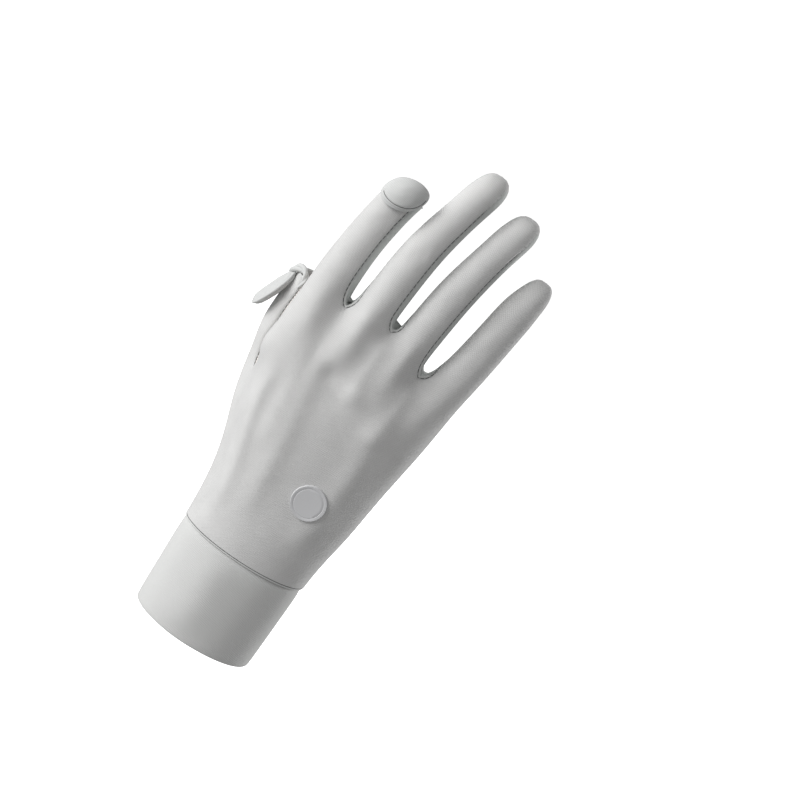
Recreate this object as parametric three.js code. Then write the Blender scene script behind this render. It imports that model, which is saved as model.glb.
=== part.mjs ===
// Sun glove for a right hand, held in the form that it has when worn.
// Millimetres. The origin is the middle of the cuff's open end, +Z runs to the fingertips,
// -Y is the back of the hand, +Y the palm and +X the little finger's side.
import * as THREE from 'three';

// Driving sizes
const CLOTH_WALL = 1;
const SEAM_GAP = 0.3;
const INNER_DRAW = 0.55;
const WRIST_HEIGHT = 41.8;
const CUFF_WALL = 2.2;
const CUFF_POINTS = 32;
const POUCH_WALL = 1;
const POUCH_POINTS = 16;
const BADGE_RADIUS = 7.6;
const BADGE_THICKNESS = 1.2;
const BADGE_POINTS = 28;
const BADGE_PLACE = { x: 11.5, z: 77.3 };

// Columns of the net that the cloth is laid on
const FINGER_COLUMNS = 3;
const FINGER_RING_POINTS = 10;
const BACK_COLUMNS = 4 * FINGER_COLUMNS;
const RING_STEP = (2 * Math.PI) / FINGER_RING_POINTS;
const THUMB_OUTER_POINTS = FINGER_RING_POINTS - 3;
const FITTING_ROUNDS = 4;

// Sections of the palm from the wrist up to the knuckles: the outline's ends, the depths of
// its back and palm sides, how square it is and how far its little finger side falls back.
const PALM_SECTIONS = [
  { z: 41.8, left: -28.4, right: 28.8, back: 18.6, palm: 18.6, square: 2.0, fall: 0 },
  { z: 54, left: -28.9, right: 30.0, back: 17.8, palm: 17.4, square: 2.1, fall: 0.6 },
  { z: 67, left: -31.0, right: 32.2, back: 16.8, palm: 15.6, square: 2.2, fall: 1.4 },
  { z: 80, left: -34.5, right: 33.7, back: 16.0, palm: 13.8, square: 2.3, fall: 2.2 },
  { z: 93, left: -37.5, right: 35.2, back: 15.4, palm: 12.4, square: 2.4, fall: 3.0 },
  { z: 105, left: -39.6, right: 36.9, back: 14.8, palm: 11.6, square: 2.4, fall: 3.6 },
  { z: 117, left: -40.2, right: 38.5, back: 14.4, palm: 11.2, square: 2.5, fall: 4.0 },
];

// Ellipse that the thumb's side of each palm section follows, up to where the thumb parts
const THUMB_ROOTS = [
  { x: 0.2, y: 0.0, across: 28.6, deep: 18.6, from: -28, to: 68 },
  { x: -5.6, y: 2.0, across: 23.6, deep: 16.4, from: -30, to: 80 },
  { x: -13.0, y: 5.0, across: 18.2, deep: 15.0, from: -35, to: 100 },
  { x: -19.2, y: 8.5, across: 15.8, deep: 13.8, from: -40, to: 125 },
  { x: -25.6, y: 13.0, across: 14.4, deep: 12.6, from: -46, to: 172 },
  { x: -31.2, y: 18.4, across: 11.6, deep: 11.2, from: -52, to: 222 },
];

// Sections of the fingers: the first of each is where it leaves the palm
const FINGERS = {
  index: {
    roll: 9,
    sections: [
      { x: -28.8, y: -2.0, z: 149, across: 9.4, deep: 9.4 },
      { x: -29.0, y: -1.4, z: 157, across: 9.0, deep: 8.7 },
      { x: -28.5, y: -0.2, z: 170, across: 8.5, deep: 8.2 },
      { x: -27.0, y: 1.4, z: 183, across: 8.2, deep: 7.9 },
      { x: -25.0, y: 3.2, z: 195, across: 8.2, deep: 7.7 },
      { x: -23.3, y: 4.6, z: 203.5, across: 8.0, deep: 7.4 },
    ],
    tip: null,
  },
  middle: {
    roll: 4,
    sections: [
      { x: -8.9, y: -3.2, z: 152, across: 9.2, deep: 9.6 },
      { x: -8.1, y: -2.6, z: 160, across: 8.6, deep: 8.7 },
      { x: -6.9, y: -1.2, z: 175, across: 8.4, deep: 8.1 },
      { x: -4.8, y: 0.8, z: 190, across: 8.0, deep: 7.6 },
      { x: -1.4, y: 3.2, z: 204, across: 7.4, deep: 7.0 },
      { x: 1.5, y: 5.4, z: 216, across: 6.9, deep: 6.5 },
      { x: 3.5, y: 6.9, z: 223.4, across: 4.8, deep: 4.5 },
    ],
    tip: 2.6,
  },
  ring: {
    roll: 0,
    sections: [
      { x: 11.0, y: -1.2, z: 148.5, across: 8.9, deep: 9.2 },
      { x: 11.6, y: -0.4, z: 156.5, across: 8.4, deep: 8.5 },
      { x: 13.3, y: 1.2, z: 170, across: 8.0, deep: 7.9 },
      { x: 15.6, y: 3.4, z: 184, across: 7.7, deep: 7.4 },
      { x: 18.8, y: 6.2, z: 198, across: 7.2, deep: 6.9 },
      { x: 21.5, y: 8.6, z: 209, across: 6.7, deep: 6.3 },
      { x: 23.3, y: 10.1, z: 215.6, across: 4.6, deep: 4.3 },
    ],
    tip: 2.4,
  },
  little: {
    roll: -6,
    sections: [
      { x: 31.0, y: 3.8, z: 140.5, across: 9.8, deep: 9.0 },
      { x: 33.2, y: 4.8, z: 148.5, across: 8.8, deep: 8.2 },
      { x: 35.7, y: 6.8, z: 161, across: 8.1, deep: 7.6 },
      { x: 37.6, y: 9.0, z: 174, across: 7.8, deep: 7.1 },
      { x: 39.3, y: 11.4, z: 186, across: 7.3, deep: 6.6 },
      { x: 41.4, y: 13.8, z: 196.4, across: 4.6, deep: 4.2 },
    ],
    tip: 2.6,
  },
};

// Lowest points of the three gaps between fingers, on the back of the hand
const CROTCHES = [
  { name: 'fourchette_index_middle', x: -19.1, y: -6.4, z: 149.6 },
  { name: 'fourchette_middle_ring', x: 0.9, y: -6.8, z: 152.5 },
  { name: 'fourchette_ring_little', x: 19.6, y: -4.2, z: 141.3 },
];
const CROTCH_DEPTH = 14;
const CROTCH_RISE = 7;

// Free sections of the thumb, past its parting from the palm
const THUMB_SECTIONS = [
  { x: -33.9, y: 20.0, z: 113, across: 10.3, deep: 9.9 },
  { x: -35.4, y: 20.8, z: 124, across: 9.7, deep: 9.3 },
  { x: -35.7, y: 20.6, z: 136, across: 9.2, deep: 8.8 },
  { x: -35.4, y: 19.8, z: 147, across: 8.9, deep: 8.6 },
];
const THUMB_FIRST_ANGLE = 126;
const PARTING_RISE = 4;
const PARTING_SHARE = 0.33;
const UPPER_PALM_LEFT = { back: -38, palm: -33 };

// Swells and dents of the back of the hand, each a round hill with its own spread
const BACK_FORMS = [
  { x: -23, z: 136, spread: 7, lift: 1.0 },
  { x: -6, z: 140, spread: 7, lift: 1.4 },
  { x: 13, z: 136, spread: 7, lift: 1.2 },
  { x: 31, z: 127, spread: 7, lift: 0.8 },
  { x: -15, z: 112, spread: 8, lift: -0.8 },
  { x: -8, z: 126, spread: 6, lift: -1.0 },
  { x: -9, z: 88, spread: 12, lift: 0.8 },
];
const PALM_HOLLOW = { x: 8, z: 100, spread: 20, lift: 3.0 };

// Caps of the index finger and the thumb, turned back from the tips they cover
const INDEX_CAP = { thickness: 4.4, spread: 56, clearance: 0.4, top: 206.4, bottom: 195.2 };
const THUMB_CAP = {
  root: new THREE.Vector3(-46.8, 18.0, 147.0),
  end: new THREE.Vector3(-51.4, 18.6, 125.6),
  across: 7.2,
  thickness: 2.1,
};

const LOOKS = {
  back_panel: { color: 0xb9bab8, roughness: 0.75 },
  palm_panel: { color: 0xd9cfc6, roughness: 0.9 },
  fourchette: { color: 0x97a099, roughness: 0.8 },
  cuff: { color: 0xb4b7b2, roughness: 0.8 },
  cap: { color: 0xbfc1be, roughness: 0.78 },
  badge: { color: 0x9fa1a3, roughness: 0.45 },
};

const radians = THREE.MathUtils.degToRad;

// A net of four-sided faces. Each face names the piece of cloth that it belongs to.
class Net {
  constructor() {
    this.points = [];
    this.faces = [];
  }

  add(x, y, z) {
    this.points.push(new THREE.Vector3(x, y, z));
    return this.points.length - 1;
  }

  // Joins two rows of points, counter-clockwise seen from outside; a ring of faces when closed
  join(low, high, pieces) {
    pieces.forEach((piece, column) => {
      const next = (column + 1) % low.length;
      this.faces.push({ corners: [low[column], low[next], high[next], high[column]], piece });
    });
  }
}

// Points around one section of a finger or thumb, square to the way that it runs
function ringPoints(sections, row, firstAngle) {
  const here = sections[row];
  const before = sections[Math.max(row - 1, 0)];
  const after = sections[Math.min(row + 1, sections.length - 1)];
  const along = new THREE.Vector3(after.x - before.x, after.y - before.y, after.z - before.z);
  along.normalize();
  const side = new THREE.Vector3(1, 0, 0).addScaledVector(along, -along.x).normalize();
  const palmward = along.clone().cross(side);
  const centre = new THREE.Vector3(here.x, here.y, here.z);
  return (angle, reach = 1) => centre.clone()
    .addScaledVector(side, reach * here.across * Math.cos(firstAngle - angle))
    .addScaledVector(palmward, -reach * here.deep * Math.sin(firstAngle - angle));
}

// A palm section's depth from its middle plane at one place across, from 0 at its ends to 1
function ovalDepth(section, x) {
  const middle = (section.left + section.right) / 2;
  const half = (section.right - section.left) / 2;
  const reach = Math.min(Math.abs(x - middle) / half, 1);
  return (1 - reach ** section.square) ** (1 / section.square);
}

function sideFall(section, x) {
  return section.fall * Math.max(x / section.right, 0) ** 2;
}

function formLift(form, x, z) {
  const far = ((x - form.x) ** 2 + (z - form.z) ** 2) / (2 * form.spread ** 2);
  return form.lift * Math.exp(-far);
}

// The palm section's own points, left to right on the back and right to left on the palm
function palmOval(net, section, backLeft, palmLeft) {
  const rightEnd = section.right * 0.94;
  const back = [];
  const palm = [];
  for (let column = 1; column <= BACK_COLUMNS; column += 1) {
    const share = column / BACK_COLUMNS;
    const backX = THREE.MathUtils.lerp(backLeft, rightEnd, share);
    const palmX = THREE.MathUtils.lerp(palmLeft, rightEnd, share);
    const backY = -section.back * ovalDepth(section, backX) + sideFall(section, backX);
    const palmY = section.palm * ovalDepth(section, palmX) + sideFall(section, palmX);
    back.push(net.add(backX, backY, section.z));
    palm.push(net.add(palmX, palmY, section.z));
  }
  const end = net.add(section.right, sideFall(section, section.right) + 1, section.z);
  return { back, palm, end };
}

// A section below the parting: one ring round palm and thumb root together
function rootRow(net, section, root) {
  const place = (share) => {
    const angle = radians(THREE.MathUtils.lerp(root.from, root.to, share));
    const x = root.x - root.across * Math.cos(angle);
    const y = root.y + root.deep * Math.sin(angle);
    return new THREE.Vector3(x, y, section.z);
  };
  const outer = [];
  for (let point = 0; point <= THUMB_OUTER_POINTS + 1; point += 1) {
    outer.push(net.add(...place(point / (THUMB_OUTER_POINTS + 1))));
  }
  const backLeft = outer[0];
  const palmLeft = outer[outer.length - 1];
  const oval = palmOval(net, section, net.points[backLeft].x, net.points[palmLeft].x);
  return {
    back: [backLeft, ...oval.back],
    end: oval.end,
    palm: [palmLeft, ...oval.palm],
    outer: outer.slice(1, -1),
  };
}

// Where a finger leaves the palm: its own points, and the gap's points that it shares
function fingerBases(net, gaps) {
  return Object.values(FINGERS).map((finger, order) => {
    const place = ringPoints(finger.sections, 0, radians(144 + finger.roll));
    const at = (point) => net.add(...place(point * RING_STEP));
    const left = gaps[order - 1];
    const right = gaps[order];
    const ring = [
      left ? left.back : at(0),
      at(1),
      at(2),
      right ? right.back : at(3),
      right ? right.middle : at(4),
      right ? right.palm : at(5),
      at(6),
      at(7),
      left ? left.palm : at(8),
      left ? left.middle : at(9),
    ];
    return ring;
  });
}

// Closes a fingertip with two rows of faces over its last ring
function closeTip(net, ring, sections, rise) {
  const last = sections[sections.length - 1];
  const before = sections[sections.length - 2];
  const along = new THREE.Vector3(last.x - before.x, last.y - before.y, last.z - before.z);
  along.normalize();
  const middle = [-1, 1].map((side) => net.add(
    last.x + (side * last.across) / 3 + along.x * rise,
    last.y + along.y * rise,
    last.z + along.z * rise,
  ));
  const crest = [ring[9], ...middle, ring[4]];
  const backPieces = Array(FINGER_COLUMNS).fill('back_panel');
  const palmPieces = Array(FINGER_COLUMNS).fill('palm_panel');
  net.join(ring.slice(0, 4), crest, backPieces);
  net.join(crest, [ring[8], ring[7], ring[6], ring[5]], palmPieces);
}

function buildNet() {
  const net = new Net();
  const rootPieces = [
    ...Array(BACK_COLUMNS + 1).fill('back_panel'),
    ...Array(BACK_COLUMNS + 5).fill('palm_panel'),
    ...Array(4).fill('back_panel'),
  ];
  const roots = THUMB_ROOTS.map((root, row) => rootRow(net, PALM_SECTIONS[row], root));
  const rootRing = (row) => [
    ...row.back, row.end, ...[...row.palm].reverse(), ...[...row.outer].reverse(),
  ];
  for (let row = 1; row < roots.length; row += 1) {
    net.join(rootRing(roots[row - 1]), rootRing(roots[row]), rootPieces);
  }

  // The parting of palm and thumb
  const parting = roots[roots.length - 1];
  const backLeft = net.points[parting.back[0]];
  const palmLeft = net.points[parting.palm[0]];
  const saddle = backLeft.clone().lerp(palmLeft, PARTING_SHARE);
  const partingMiddle = net.add(saddle.x, saddle.y, saddle.z + PARTING_RISE);

  // The rows from the parting up to the gaps between the fingers
  const gaps = CROTCHES.map((crotch) => ({
    back: net.add(crotch.x, crotch.y, crotch.z),
    middle: net.add(crotch.x, crotch.y + CROTCH_DEPTH / 2, crotch.z + CROTCH_RISE / 2),
    palm: net.add(crotch.x, crotch.y + CROTCH_DEPTH, crotch.z + CROTCH_RISE),
  }));
  const bases = fingerBases(net, gaps);
  const topRing = [
    ...bases.flatMap((ring) => ring.slice(0, 3)),
    ...bases[3].slice(3, 6),
    ...[...bases].reverse().flatMap((ring) => ring.slice(6, 9)),
    bases[0][9],
  ];
  const section = PALM_SECTIONS[PALM_SECTIONS.length - 1];
  const oval = palmOval(net, section, UPPER_PALM_LEFT.back, UPPER_PALM_LEFT.palm);
  const corner = (x, depth) => net.add(x, depth * ovalDepth(section, x), section.z);
  const firstRing = [
    corner(UPPER_PALM_LEFT.back, -section.back),
    ...oval.back,
    oval.end,
    ...[...oval.palm].reverse(),
    corner(UPPER_PALM_LEFT.palm, section.palm),
    net.add(section.left, 1, section.z),
  ];
  const upperPieces = [
    ...Array(BACK_COLUMNS + 1).fill('back_panel'),
    ...Array(BACK_COLUMNS + 2).fill('palm_panel'),
    'back_panel',
  ];
  const partingRing = [
    ...parting.back, parting.end, ...[...parting.palm].reverse(), partingMiddle,
  ];
  const between = [1 / 3, 2 / 3].map((share) => firstRing.map((point, column) => {
    const place = net.points[point].clone().lerp(net.points[topRing[column]], share);
    return net.add(...place);
  }));
  const upperRings = [partingRing, firstRing, ...between, topRing];
  for (let row = 1; row < upperRings.length; row += 1) {
    net.join(upperRings[row - 1], upperRings[row], upperPieces);
  }

  // The fingers
  Object.values(FINGERS).forEach((finger, order) => {
    const leftPiece = CROTCHES[order - 1];
    const rightPiece = CROTCHES[order];
    const pieces = [
      'back_panel', 'back_panel', 'back_panel',
      rightPiece ? rightPiece.name : 'back_panel',
      rightPiece ? rightPiece.name : 'palm_panel',
      'palm_panel', 'palm_panel', 'palm_panel',
      leftPiece ? leftPiece.name : 'palm_panel',
      leftPiece ? leftPiece.name : 'back_panel',
    ];
    let low = bases[order];
    for (let row = 1; row < finger.sections.length; row += 1) {
      const place = ringPoints(finger.sections, row, radians(144 + finger.roll));
      const high = low.map((_, point) => net.add(...place(point * RING_STEP)));
      net.join(low, high, pieces);
      low = high;
    }
    if (finger.tip) closeTip(net, low, finger.sections, finger.tip);
  });

  // The thumb
  const thumbPieces = [
    ...Array(6).fill('palm_panel'),
    ...Array(4).fill('back_panel'),
  ];
  let low = [
    parting.back[0], partingMiddle, parting.palm[0], ...[...parting.outer].reverse(),
  ];
  THUMB_SECTIONS.forEach((_, row) => {
    const place = ringPoints(THUMB_SECTIONS, row, radians(THUMB_FIRST_ANGLE));
    const high = low.map((__, point) => net.add(...place(point * RING_STEP)));
    net.join(low, high, thumbPieces);
    low = high;
  });

  addForms(net);
  return net;
}

function addForms(net) {
  for (const point of net.points) {
    if (point.y < -5) {
      for (const form of BACK_FORMS) point.y -= formLift(form, point.x, point.z);
    } else if (point.y > 8 && point.x > -20) {
      point.y -= formLift(PALM_HOLLOW, point.x, point.z);
    }
  }
}

// Edges of a net: their two points and the faces on either side
function netEdges(faces) {
  const edges = new Map();
  faces.forEach(({ corners }, face) => {
    corners.forEach((from, corner) => {
      const to = corners[(corner + 1) % corners.length];
      const key = from < to ? `${from}_${to}` : `${to}_${from}`;
      if (!edges.has(key)) edges.set(key, { from, to, faces: [] });
      edges.get(key).faces.push(face);
    });
  });
  return edges;
}

// For each point of a net, its edges and faces
function netStars(net, edges) {
  const stars = net.points.map(() => ({ edges: [], faces: [] }));
  for (const edge of edges.values()) {
    stars[edge.from].edges.push(edge);
    stars[edge.to].edges.push(edge);
  }
  net.faces.forEach((face) => {
    face.corners.forEach((corner) => stars[corner].faces.push(face));
  });
  return stars;
}

function otherEnd(edge, point) {
  return edge.from === point ? edge.to : edge.from;
}

// Where the endlessly smoothed cloth lies at each point of the net
function smoothPlaces(net, stars) {
  return net.points.map((point, index) => {
    const star = stars[index];
    const rim = star.edges.filter((edge) => edge.faces.length === 1);
    if (rim.length > 0) {
      const place = point.clone().multiplyScalar(4);
      rim.forEach((edge) => place.add(net.points[otherEnd(edge, index)]));
      return place.divideScalar(6);
    }
    const count = star.edges.length;
    const place = point.clone().multiplyScalar(count * count);
    star.edges.forEach((edge) => {
      place.addScaledVector(net.points[otherEnd(edge, index)], 4);
    });
    star.faces.forEach(({ corners }) => {
      const opposite = corners[(corners.indexOf(index) + 2) % corners.length];
      place.add(net.points[opposite]);
    });
    return place.divideScalar(count * (count + 5));
  });
}

// Moves the net's points so that the smoothed cloth passes through where they were
function fitNet(net) {
  const stars = netStars(net, netEdges(net.faces));
  const wanted = net.points.map((point) => point.clone());
  for (let round = 0; round < FITTING_ROUNDS; round += 1) {
    const reached = smoothPlaces(net, stars);
    net.points.forEach((point, index) => point.add(wanted[index]).sub(reached[index]));
  }
}

// One round of smoothing: each face becomes four, each new point eased between its neighbours
function smoothNet(net) {
  const edges = netEdges(net.faces);
  const stars = netStars(net, edges);
  const finer = new Net();
  const average = (points) => points
    .reduce((sum, point) => sum.add(point), new THREE.Vector3())
    .divideScalar(points.length);
  const centres = net.faces.map(({ corners }) => average(corners.map((c) => net.points[c])));

  net.points.forEach((point, index) => {
    const star = stars[index];
    const rim = star.edges.filter((edge) => edge.faces.length === 1);
    if (rim.length > 0) {
      const ends = average(rim.map((edge) => net.points[otherEnd(edge, index)]));
      finer.add(...point.clone().lerp(ends, 0.25));
      return;
    }
    const count = star.edges.length;
    const around = average(star.faces.map((face) => centres[net.faces.indexOf(face)]));
    const ends = average(star.edges.map((edge) => net.points[otherEnd(edge, index)]));
    const place = point.clone().multiplyScalar(count - 2).add(ends).add(around);
    finer.add(...place.divideScalar(count));
  });

  const centreIndex = centres.map((centre) => finer.add(...centre));
  for (const edge of edges.values()) {
    const ends = [net.points[edge.from], net.points[edge.to]];
    const sides = edge.faces.length === 1 ? [] : edge.faces.map((face) => centres[face]);
    edge.middle = finer.add(...average([...ends, ...sides]));
  }
  const edgeMiddle = (a, b) => edges.get(a < b ? `${a}_${b}` : `${b}_${a}`).middle;
  net.faces.forEach(({ corners, piece }, face) => {
    corners.forEach((corner, order) => {
      const next = corners[(order + 1) % corners.length];
      const last = corners[(order + corners.length - 1) % corners.length];
      finer.faces.push({
        corners: [corner, edgeMiddle(corner, next), centreIndex[face], edgeMiddle(last, corner)],
        piece,
      });
    });
  });
  const settled = smoothPlaces(finer, netStars(finer, netEdges(finer.faces)));
  finer.points = settled;
  return finer;
}

function netNormals(net) {
  const normals = net.points.map(() => new THREE.Vector3());
  for (const { corners } of net.faces) {
    const [a, b, c, d] = corners.map((corner) => net.points[corner]);
    const normal = c.clone().sub(a).cross(d.clone().sub(b));
    corners.forEach((corner) => normals[corner].add(normal));
  }
  return normals.map((normal) => normal.normalize());
}

function geometryOf(points, triangles) {
  const geometry = new THREE.BufferGeometry();
  const places = points.flatMap((point) => [point.x, point.y, point.z]);
  geometry.setAttribute('position', new THREE.Float32BufferAttribute(places, 3));
  geometry.setIndex(triangles.flat());
  geometry.computeVertexNormals();
  return geometry;
}

function halves([a, b, c, d]) {
  return [[a, b, c], [a, c, d]];
}

// One piece of cloth cut from the smoothed net: its outer skin, its inner skin and its edge,
// drawn in a little all round so that it keeps clear of its neighbours.
function clothPiece(net, normals, piece) {
  const faces = net.faces.filter((face) => face.piece === piece);
  const edges = netEdges(faces);
  const onEdge = new Set();
  for (const edge of edges.values()) {
    if (edge.faces.length === 1) [edge.from, edge.to].forEach((point) => onEdge.add(point));
  }
  const numbers = new Map();
  faces.forEach(({ corners }) => corners.forEach((corner) => {
    if (!numbers.has(corner)) numbers.set(corner, numbers.size);
  }));
  const inward = new Map([...onEdge].map((point) => [point, new THREE.Vector3()]));
  for (const { corners } of faces) {
    const centre = corners
      .reduce((sum, corner) => sum.add(net.points[corner]), new THREE.Vector3())
      .divideScalar(corners.length);
    corners.filter((corner) => onEdge.has(corner)).forEach((corner) => {
      inward.get(corner).add(centre.clone().sub(net.points[corner]).normalize());
    });
  }
  const outer = [];
  const inner = [];
  for (const point of numbers.keys()) {
    const skin = net.points[point].clone();
    const lining = skin.clone().addScaledVector(normals[point], -CLOTH_WALL);
    if (onEdge.has(point)) {
      const pull = inward.get(point);
      pull.addScaledVector(normals[point], -pull.dot(normals[point])).normalize();
      skin.addScaledVector(pull, SEAM_GAP / 2);
      lining.addScaledVector(pull, SEAM_GAP / 2 + INNER_DRAW);
    }
    outer.push(skin);
    inner.push(lining);
  }
  const count = outer.length;
  const triangles = [];
  for (const { corners } of faces) {
    const skin = corners.map((corner) => numbers.get(corner));
    triangles.push(...halves(skin));
    triangles.push(...halves([...skin].reverse().map((number) => number + count)));
  }
  for (const edge of edges.values()) {
    if (edge.faces.length === 1) {
      const from = numbers.get(edge.from);
      const to = numbers.get(edge.to);
      triangles.push(...halves([from, from + count, to + count, to]));
    }
  }
  return geometryOf([...outer, ...inner], triangles);
}

// A solid over rings of equal size. The rings follow one another round a closed profile, or
// run from one closed end to the other.
function ringSolid(rings, closedProfile) {
  const size = rings[0].length;
  const points = rings.flat();
  const triangles = [];
  const rows = closedProfile ? rings.length : rings.length - 1;
  for (let row = 0; row < rows; row += 1) {
    const low = row * size;
    const high = ((row + 1) % rings.length) * size;
    for (let column = 0; column < size; column += 1) {
      const next = (column + 1) % size;
      triangles.push(...halves([low + column, low + next, high + next, high + column]));
    }
  }
  if (!closedProfile) {
    const lastRow = (rings.length - 1) * size;
    const centreOf = (ring) => ring
      .reduce((sum, point) => sum.add(point), new THREE.Vector3())
      .divideScalar(size);
    points.push(centreOf(rings[0]), centreOf(rings[rings.length - 1]));
    for (let column = 0; column < size; column += 1) {
      const next = (column + 1) % size;
      triangles.push([points.length - 2, next, column]);
      triangles.push([points.length - 1, lastRow + column, lastRow + next]);
    }
  }
  return geometryOf(points, triangles);
}

// The cuff: a folded band, its lower hem rounded. Each row has its height, its distance in
// from the outside and how far up the cuff's slight waist it is read.
function cuffGeometry() {
  const top = WRIST_HEIGHT - SEAM_GAP;
  const half = CUFF_WALL / 2;
  const profile = [
    { inset: half, z: 0 },
    { inset: half * 0.35, z: half * 0.3 },
    { inset: 0, z: half },
    { inset: 0, z: top * 0.35 },
    { inset: 0, z: top * 0.7 },
    { inset: 0, z: top },
    { inset: CUFF_WALL, z: top },
    { inset: CUFF_WALL, z: top * 0.5 },
    { inset: CUFF_WALL, z: half },
    { inset: CUFF_WALL - half * 0.35, z: half * 0.3 },
  ];
  const open = { across: 27.2, deep: 20.2 };
  const wrist = { across: 28.4, deep: 18.5 };
  const rings = profile.map(({ inset, z }) => {
    const share = z / top;
    const across = THREE.MathUtils.lerp(open.across, wrist.across, share) - inset;
    const deep = THREE.MathUtils.lerp(open.deep, wrist.deep, share) - inset;
    return Array.from({ length: CUFF_POINTS }, (_, point) => {
      const angle = (point / CUFF_POINTS) * 2 * Math.PI;
      return new THREE.Vector3(across * Math.cos(angle), deep * Math.sin(angle), z);
    });
  });
  return ringSolid(rings, true);
}

// A turned-back cap: a flattened pouch with a closed round end and an open mouth. The place
// function puts a point from across (-1 to 1), along (0 at the mouth, 1 at the closed end)
// and through (-1 on its lower layer, 1 on its upper one) in the glove's frame.
function pouchGeometry(place, wallAcross, wallAlong, wallThrough) {
  const skin = (along, inside) => {
    const reach = Math.sqrt(1 - (along * 0.97) ** 2.6);
    return Array.from({ length: POUCH_POINTS }, (_, point) => {
      const angle = (point / POUCH_POINTS) * 2 * Math.PI;
      const across = Math.cos(angle) * (reach - (inside ? wallAcross : 0));
      const through = Math.sin(angle) * (reach - (inside ? wallThrough : 0));
      return place(across, along * (1 - (inside ? wallAlong : 0)), through);
    });
  };
  const outerRows = [0.99, 0.86, 0.62, 0.3, 0];
  const innerRows = [0, 0.35, 0.7, 0.9];
  return ringSolid([
    ...outerRows.map((along) => skin(along, false)),
    ...innerRows.map((along) => skin(along, true)),
  ], false);
}

function sectionAt(sections, z) {
  const found = sections.findIndex((section) => section.z >= z);
  const upper = found < 1 ? sections.length - 1 : found;
  const above = sections[upper];
  const below = sections[upper - 1];
  const share = (z - below.z) / (above.z - below.z);
  return Object.fromEntries(Object.keys(above).map((key) => (
    [key, THREE.MathUtils.lerp(below[key], above[key], share)]
  )));
}

// The index finger's cap lies on the back of the finger, just under the finger's opening
function indexCapGeometry() {
  const { sections } = FINGERS.index;
  const place = (across, along, through) => {
    const z = THREE.MathUtils.lerp(INDEX_CAP.top, INDEX_CAP.bottom, along);
    const section = sectionAt(sections, z);
    const angle = radians(90 + across * INDEX_CAP.spread);
    const lift = INDEX_CAP.clearance + (1 + through) * (INDEX_CAP.thickness / 2);
    const x = section.x + (section.across + lift) * Math.cos(angle);
    const y = section.y - (section.deep + lift) * Math.sin(angle);
    return new THREE.Vector3(x, y, z);
  };
  return pouchGeometry(place, 0.1, 0.12, (2 * POUCH_WALL) / INDEX_CAP.thickness);
}

// The thumb's cap stands off from the thumb's outer side, its closed end hanging free
function thumbCapGeometry() {
  const { root, end, across: halfWidth, thickness } = THUMB_CAP;
  const run = end.clone().sub(root);
  const depth = new THREE.Vector3(0, 1, 0).addScaledVector(run, -run.y / run.lengthSq());
  depth.normalize();
  const off = run.clone().cross(depth).normalize();
  const place = (across, along, through) => root.clone()
    .addScaledVector(run, along)
    .addScaledVector(depth, -across * halfWidth)
    .addScaledVector(off, through * thickness);
  return pouchGeometry(place, POUCH_WALL / halfWidth, 0.06, POUCH_WALL / thickness);
}

// The badge: a plain round disc that follows the back of the hand under it
function badgeGeometry(backMesh) {
  const caster = new THREE.Raycaster();
  const inward = new THREE.Vector3(0, 1, 0);
  const standOff = 100;
  const surface = (x, z) => {
    caster.set(new THREE.Vector3(x, -standOff, z), inward);
    return caster.intersectObject(backMesh)[0].point;
  };
  const ring = (radius, lift) => Array.from({ length: BADGE_POINTS }, (_, point) => {
    const angle = (point / BADGE_POINTS) * 2 * Math.PI;
    const x = BADGE_PLACE.x + radius * Math.cos(angle);
    const z = BADGE_PLACE.z + radius * Math.sin(angle);
    const place = surface(x, z);
    place.y -= lift;
    return place;
  });
  const bevel = BADGE_THICKNESS / 3;
  const top = SEAM_GAP + BADGE_THICKNESS;
  return ringSolid([
    ring(BADGE_RADIUS / 2, SEAM_GAP),
    ring(BADGE_RADIUS, SEAM_GAP),
    ring(BADGE_RADIUS, top - bevel),
    ring(BADGE_RADIUS - bevel, top),
    ring(BADGE_RADIUS / 2, top),
  ], false);
}

function namedMesh(name, geometry, look) {
  const material = new THREE.MeshStandardMaterial({ ...look, metalness: 0 });
  const mesh = new THREE.Mesh(geometry, material);
  mesh.name = name;
  return mesh;
}

function buildGlove() {
  const net = buildNet();
  fitNet(net);
  const cloth = smoothNet(net);
  const normals = netNormals(cloth);

  const glove = new THREE.Group();
  const back = namedMesh(
    'back_panel', clothPiece(cloth, normals, 'back_panel'), LOOKS.back_panel,
  );
  glove.add(back);
  glove.add(namedMesh(
    'palm_panel', clothPiece(cloth, normals, 'palm_panel'), LOOKS.palm_panel,
  ));
  for (const { name } of CROTCHES) {
    glove.add(namedMesh(name, clothPiece(cloth, normals, name), LOOKS.fourchette));
  }
  glove.add(namedMesh('cuff', cuffGeometry(), LOOKS.cuff));
  glove.add(namedMesh('index_cap', indexCapGeometry(), LOOKS.cap));
  glove.add(namedMesh('thumb_cap', thumbCapGeometry(), LOOKS.cap));
  glove.add(namedMesh('badge', badgeGeometry(back), LOOKS.badge));
  return glove;
}

export default buildGlove();
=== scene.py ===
"""The looks of a right-hand sun glove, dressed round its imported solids.

The glove keeps its worn form: a smooth knit back, a mesh palm with grip dots, strips
between the fingers, a double cuff, two turned-back fingertip caps and a round badge.
Everything is in metres, in the frame of the solids: the origin is the middle of the
cuff's open end, +Z runs to the fingertips, -Y is the glove's back and +X the little
finger's side. The glove's own sizes are written in millimetres, and MM makes them
metres; the studio's are written in metres.
"""
import logging
import math
from contextlib import contextmanager
from dataclasses import dataclass, field
from enum import Enum
from typing import Iterator, Optional, Sequence

import bmesh
import bpy
import numpy as np
from mathutils import Matrix, Vector
from mathutils.bvhtree import BVHTree
from mathutils.kdtree import KDTree


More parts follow.
